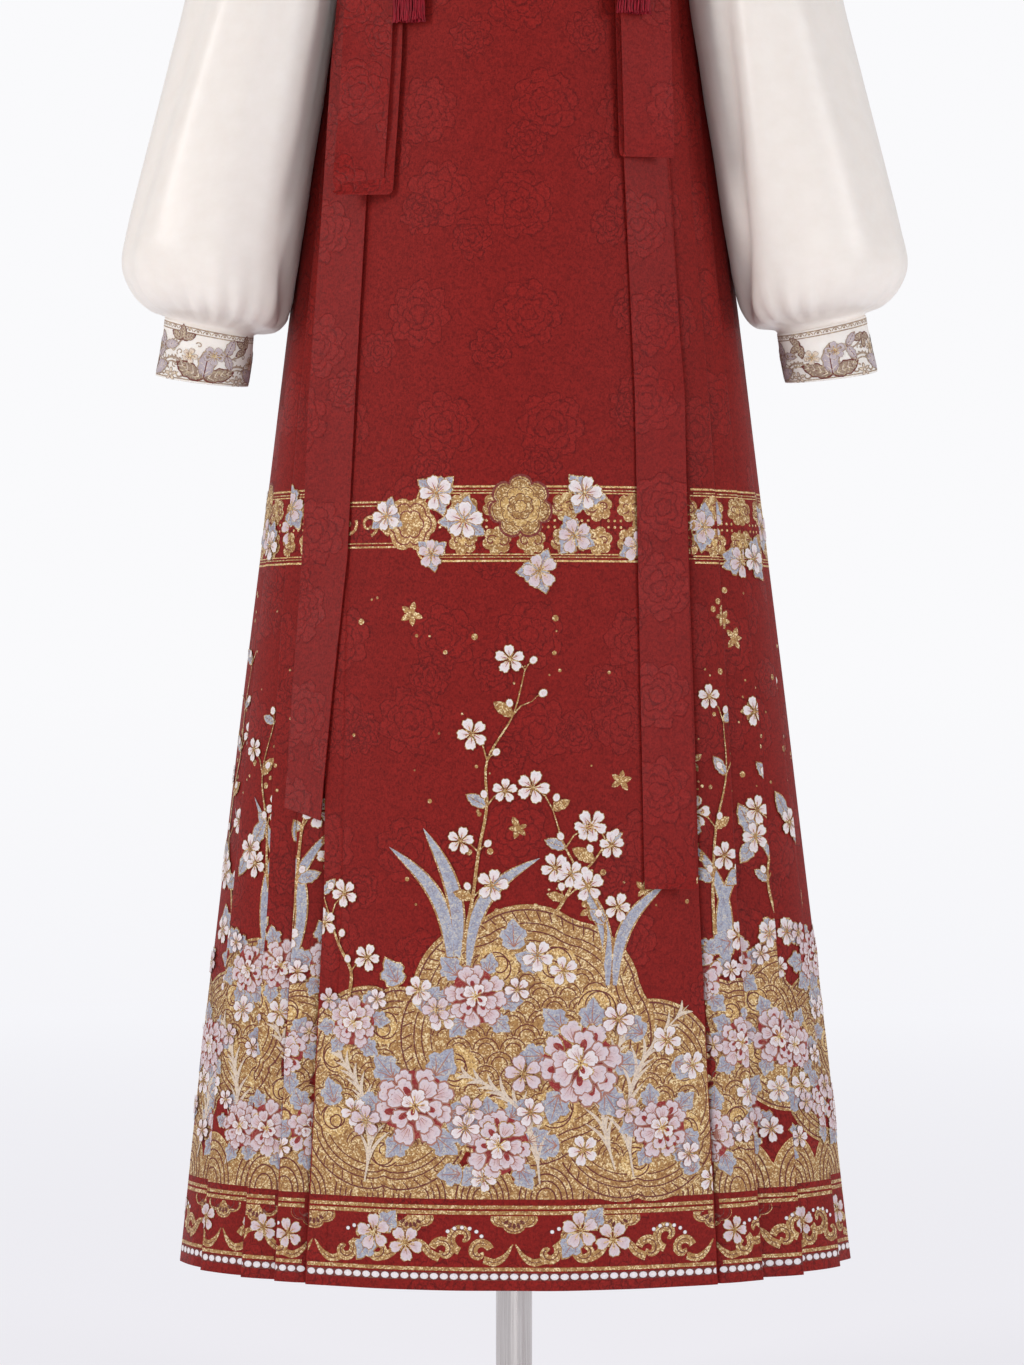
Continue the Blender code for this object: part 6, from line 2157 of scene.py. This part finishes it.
def strand_tree():
    """Hangs a wavering strand from every point."""
    numbers = {"Strand length": 0.06, "Strand radius": 0.0004, "Waver": 0.0012, "Seed": 4.0}
    add, given, out = new_tree("hanging_strands", numbers)
    line = add.put("GeometryNodeCurvePrimitiveLine", {"Start": (0, 0, 0), "End": (0, 0, -1)}).outputs[0]
    line = add.put("GeometryNodeResampleCurve", {"Curve": line, "Count": 12}).outputs[0]
    uneven = add.put("FunctionNodeRandomValue", {2: 0.955, 3: 1.0, "Seed": 3}, data_type="FLOAT").outputs[1]
    tall = add.maths("MULTIPLY", uneven, given["Strand length"])
    size = add.put("ShaderNodeCombineXYZ", {0: 1.0, 1: 1.0, 2: tall}).outputs[0]
    hung = add.put("GeometryNodeInstanceOnPoints",
                   {"Points": given["Geometry"], "Instance": line, "Scale": size})
    real = add.put("GeometryNodeRealizeInstances", {0: hung.outputs[0]}).outputs[0]
    share = add.put("GeometryNodeSplineParameter").outputs["Factor"]
    place = add.put("GeometryNodeInputPosition").outputs[0]
    moved = add.vector("ADD", add.vector("MULTIPLY", place, (520.0, 520.0, 95.0)), given["Seed"])
    centred = add.vector("ADD", add.noise_colour(moved, 1.0, 1.0), (-0.5, -0.5, -0.5))
    aside = add.vector("SCALE", centred, add.maths("MULTIPLY", share, given["Waver"]))
    level = add.vector("MULTIPLY", aside, (2.0, 2.0, 0.0))
    bent = add.put("GeometryNodeSetPosition", {"Geometry": real, "Offset": level}).outputs[0]
    circle = {"Resolution": 5, "Radius": given["Strand radius"]}
    ring = add.put("GeometryNodeCurvePrimitiveCircle", circle).outputs[0]
    tubes = add.put("GeometryNodeCurveToMesh",
                    {"Curve": bent, "Profile Curve": ring, "Fill Caps": True}).outputs[0]
    add.give(out[0], add.put("GeometryNodeSetMaterial", {"Geometry": tubes, "Material": CORD}).outputs[0])
    return add.tree


def stitch_tree(finish):
    """Lays even stitches along lines."""
    numbers = {"Spacing": 0.004, "Stitch length": 0.0025, "Thread radius": 0.0003}
    add, given, out = new_tree("stitch_run", numbers)
    line = add.put("GeometryNodeMeshToCurve", {"Mesh": given["Geometry"]}).outputs[0]
    run = {"Curve": line, "Length": given["Spacing"]}
    points = add.put("GeometryNodeCurveToPoints", run, mode="LENGTH").outputs
    stitch = add.put("GeometryNodeMeshCylinder",
                     {"Vertices": 6, "Side Segments": 1, "Radius": given["Thread radius"],
                      "Depth": given["Stitch length"]}).outputs[0]
    laid = add.put("GeometryNodeInstanceOnPoints", {"Points": points["Points"], "Instance": stitch,
                                                    "Rotation": points["Rotation"]}).outputs[0]
    real = add.put("GeometryNodeRealizeInstances", {0: laid}).outputs[0]
    add.give(out[0], add.put("GeometryNodeSetMaterial", {"Geometry": real, "Material": finish}).outputs[0])
    return add.tree


def grown(name, points, edges, tree, values):
    """The mesh that a node tree makes from points and edges, as an ordinary object."""
    seeds = bpy.data.meshes.new(name + "_guide")
    seeds.from_pydata(np.asarray(points, float).tolist(), edges, [])
    guide = bpy.data.objects.new(name + "_guide", seeds)
    bpy.context.scene.collection.objects.link(guide)
    modifier = guide.modifiers.new("grow", "NODES")
    modifier.node_group = tree
    sockets = {item.name: item.identifier for item in tree.interface.items_tree
               if item.item_type == "SOCKET" and item.in_out == "INPUT"}
    for label, value in values.items():
        modifier[sockets[label]] = value
    graph = bpy.context.evaluated_depsgraph_get()
    mesh = bpy.data.meshes.new_from_object(guide.evaluated_get(graph), depsgraph=graph)
    bpy.data.objects.remove(guide)
    bpy.data.meshes.remove(seeds)
    mesh.name = name
    mesh.shade_smooth()
    made = bpy.data.objects.new(name, mesh)
    bpy.context.scene.collection.objects.link(made)
    return made


STRANDS = 130
HeadRing = namedtuple("HeadRing", "rise width depth")
TASSEL_HEAD = (
    HeadRing(-0.0030, 1.10, 1.05),
    HeadRing(0.0010, 1.12, 1.12),
    HeadRing(0.0035, 1.16, 1.18),
    HeadRing(0.0060, 1.06, 1.06),
    HeadRing(0.0085, 1.08, 1.08),
    HeadRing(0.0110, 1.00, 1.00),
    HeadRing(0.0140, 0.72, 0.80),
    HeadRing(0.0160, 0.42, 0.55),
    HeadRing(0.0180, 0.17, 0.30),
    HeadRing(0.0300, 0.14, 0.26),
)


def tassel_frame(side):
    """The middle of a tassel's root, and the directions along its width and its depth."""
    tip = TASSEL_TIP_Z[side]
    row = ribbon_row(LOOPS[side], tip)
    left, right = row[0], row[-1]
    turn = math.atan2(right[1] - left[1], right[0] - left[0])
    x = TASSEL_X[side]
    plane_y = max(min(left[1] + (x - left[0]) * math.tan(turn), right[1]), left[1])
    nearest = min(plane_y, float(outline_y(tip, x, 0.002)))
    middle = np.array([x, nearest - TASSEL_STAND[side], tip + TASSEL_LENGTH])
    c, s = math.cos(turn), math.sin(turn)
    return middle, np.array([c, s, 0.0]), np.array([-s, c, 0.0])


HEAD_AROUND = 40
TURN_OF_SEEDS = 2.39996


def build_tassel(side, tree):
    middle, along, deep = tassel_frame(side)
    half, thick = TASSEL_HALF_WIDTH * 0.62, TASSEL_HALF_DEPTH * 0.8
    roots = []
    for k in range(STRANDS):
        reach, angle = math.sqrt((k + 0.5) / STRANDS), k * TURN_OF_SEEDS
        u, v = reach * math.cos(angle), reach * math.sin(angle)
        roots.append(middle + along * u * half * 1.12 + deep * v * thick * 1.02)
    strands = grown("tassel_strands_" + side, roots, [], tree,
                    {"Strand length": TASSEL_LENGTH, "Strand radius": 0.55 * MM, "Waver": 1.6 * MM,
                     "Seed": 4.0 if side == "left" else 9.0})
    points = np.array([v.co for v in strands.data.vertices])
    down = np.clip((middle[2] - points[:, 2]) / TASSEL_LENGTH, 0, 1)
    widen = down * (TASSEL_HALF_WIDTH / half - 1)
    points += ((points - middle) @ along * widen)[:, None] * along * 0.86
    strands.data.vertices.foreach_set("co", points.astype(np.float32).ravel())
    carried(strands, "tassel_" + side)
    points = []
    for ring in TASSEL_HEAD:
        for a in np.linspace(0, math.tau, HEAD_AROUND, endpoint=False):
            u = squared(math.cos(a), 0.75) * half * ring.width
            v = squared(math.sin(a), 0.75) * thick * ring.depth
            points.append(middle + along * u + deep * v + np.array([0, 0, ring.rise]))
    faces = ring_faces(len(TASSEL_HEAD), HEAD_AROUND)
    faces += [tuple(range(HEAD_AROUND))[::-1], tuple(range(len(points) - HEAD_AROUND, len(points)))]
    carried(add_mesh("tassel_head_" + side, np.array(points), faces, CORD))


def stitch_run(name, line, tree, spacing, closed=False):
    count = len(line)
    edges = [(i, (i + 1) % count) for i in range(count if closed else count - 1)]
    values = {"Spacing": spacing, "Stitch length": 2.6 * MM, "Thread radius": 0.28 * MM}
    carried(grown(name, line, edges, tree, values))


def build_stitches():
    """The seam beside the front panel's left edge, and the waistband's two rows."""
    tree = stitch_tree(RIBBON_RED)
    z = np.linspace(0.20, 1.262, 220)
    arc = -panel_edge("left", z) + SEAM_FROM_EDGE
    line = hanging(z, arc, -(SKIRT_CLOTH / 2 + 0.02 * MM) + 0.45 * MM)
    stitch_run("panel_seam_stitches", line, tree, 3.6 * MM)
    lift = BAND_CLOTH / 2 + 0.1 * MM
    for name, z in (("band_stitches_low", BAND_BOTTOM_Z + 3.5 * MM),
                    ("band_stitches_high", BAND_TOP_Z - 3.5 * MM)):
        stitch_run(name, band_line(z, 240, -lift, lift), tree, 3.8 * MM, closed=True)


# Stage, lights and camera


FLOOR_RADIUS = 5.0
FLOOR_NEAR = ((0.32, 0.32, 0.33, 1.0), (0.63, 0.62, 0.655, 1.0))
FLOOR_FAR = ((0.04, 0.04, 0.04, 1.0), (0.895, 0.895, 0.93, 1.0))


def build_floor():
    """A pale round floor that fades with distance into the colour behind it."""
    around = 96
    points = [(0.0, 0.0, 0.0)]
    faces = [(0, 1 + c, 1 + (c + 1) % around) for c in range(around)]
    radii = np.linspace(0, FLOOR_RADIUS, 11)[1:]
    for r, radius in enumerate(radii):
        points += [(radius * math.cos(a), radius * math.sin(a), 0.0) for a in np.arange(around) * math.tau / around]
        if r:
            low, high = 1 + (r - 1) * around, 1 + r * around
            faces += [(low + c, high + c, high + (c + 1) % around, low + (c + 1) % around) for c in range(around)]
    add = Finish("studio_paper")
    far = add.spread(add.vector("LENGTH", add.object_place()), 0.6, 4.6)
    add.set(Roughness=0.9, Specular_IOR_Level=0.0, Base_Color=add.blend(far, FLOOR_NEAR[0], FLOOR_FAR[0]),
            Emission_Color=add.blend(far, FLOOR_NEAR[1], FLOOR_FAR[1]), Emission_Strength=1.0)
    add_mesh("studio_floor", points, faces, add.material)


ROOM = ((0.31, 0.315, 0.33, 1.0), (0.74, 0.745, 0.755, 1.0))
BACKDROP = ((0.913, 0.913, 0.947, 1.0), (0.955, 0.955, 0.972, 1.0))


def build_world():
    """A white room: brighter behind the stand, and shown to the camera as an even pale backdrop."""
    world = bpy.data.worlds.new("studio")
    world.use_nodes = True
    add = Nodes(world.node_tree)
    parts = add.parts(add.put("ShaderNodeTexCoord").outputs["Generated"])
    room = add.blend(add.spread(parts[1], -0.3, 0.5), *ROOM)
    shown = add.blend(add.spread(parts[2], -0.085, 0.0), *BACKDROP)
    light = add.tree.nodes["Background"]
    add.give(light.inputs["Color"], room)
    add.give(light.inputs["Strength"], 1.0)
    backdrop = add.put("ShaderNodeBackground", {"Color": shown, "Strength": 1.0})
    seen = add.put("ShaderNodeLightPath").outputs["Is Camera Ray"]
    mixed = add.put("ShaderNodeMixShader", {0: seen, 1: light.outputs[0], 2: backdrop.outputs[0]})
    add.give(add.tree.nodes["World Output"].inputs["Surface"], mixed.outputs[0])
    bpy.context.scene.world = world


Lamp = namedtuple("Lamp", "name place aim size power colour")
LAMPS = (
    Lamp("key_softbox", (-2.6, -2.0, 1.8), (0.0, 0.0, 0.8), (0.9, 1.6), 46, (1.0, 0.985, 0.97)),
    Lamp("fill_softbox", (2.6, -2.1, 1.5), (0.0, 0.0, 0.7), (0.9, 1.6), 34, (0.98, 0.985, 1.0)),
    Lamp("low_front", (0.2, -3.6, 0.3), (0.0, 0.0, 0.5), (1.6, 0.8), 12, (1.0, 0.99, 0.98)),
)


def build_lights():
    for lamp in LAMPS:
        light = bpy.data.lights.new(lamp.name, "AREA")
        light.shape = "RECTANGLE"
        light.size, light.size_y = lamp.size
        light.energy, light.color = lamp.power, lamp.colour
        holder = bpy.data.objects.new(lamp.name, light)
        holder.location = lamp.place
        holder.rotation_euler = (Vector(lamp.aim) - Vector(lamp.place)).to_track_quat("-Z", "Y").to_euler()
        bpy.context.scene.collection.objects.link(holder)


def build_camera():
    lens = bpy.data.cameras.new("photo_camera")
    lens.sensor_width = 36.0
    lens.lens = 36.0 * CAMERA_DISTANCE / (PICTURE[1] * METRES_PER_PIXEL)
    lens.clip_end = 60.0
    holder = bpy.data.objects.new("photo_camera", lens)
    holder.location = (CAMERA_SIDE, -CAMERA_DISTANCE, CAMERA_HEIGHT)
    holder.rotation_euler = (math.pi / 2, 0, 0)
    bpy.context.scene.collection.objects.link(holder)
    bpy.context.scene.camera = holder
    bpy.context.scene.view_settings.view_transform = "Standard"


def finish_hard_parts():
    for name, finish in (("form_torso", JERSEY), ("form_neck_cap", JERSEY), ("stand_pole", STEEL),
                         ("stand_collar", STEEL), ("stand_base", STEEL)):
        node = frame["nodes"][name]
        for slot in node.material_slots:
            slot.material = finish


SIDE_DESIGN_WIDTH = 0.62


def build_skirt():
    front = weave_piece("brocade_front", [on_panel(front_design(11), False)])
    back = weave_piece("brocade_back", [on_panel(front_design(12, True), True)])
    build_panel("skirt_front_panel", False)
    build_panel("skirt_back_panel", True)
    for side, seed in (("left", 21), ("right", 23)):
        parts = [on_pleats(side_design(seed, SIDE_DESIGN_WIDTH), side, back) for back in (False, True)]
        build_pleats(side, [weave_piece("brocade_pleats_" + side, parts)])


build_camera()
build_lights()
build_floor()
build_world()
finish_hard_parts()
build_skirt()
build_band()
build_blouse_front("left", 0.0)
build_blouse_front("right", FRONT_LAP)
build_blouse_back()
build_collar()
strands = strand_tree()
for side in ("left", "right"):
    build_sleeve(side)
    around, tall = cuff_size(side)
    sewn = on_cuff(cuff_design(side, around, tall), side, around, tall)
    build_cuff(side, [weave_piece("cuff_embroidery_" + side, [sewn])])
    build_tail(side)
    build_loop(side)
    build_knot(side)
    build_strap(side)
    build_tassel(side, strands)
build_stitches()
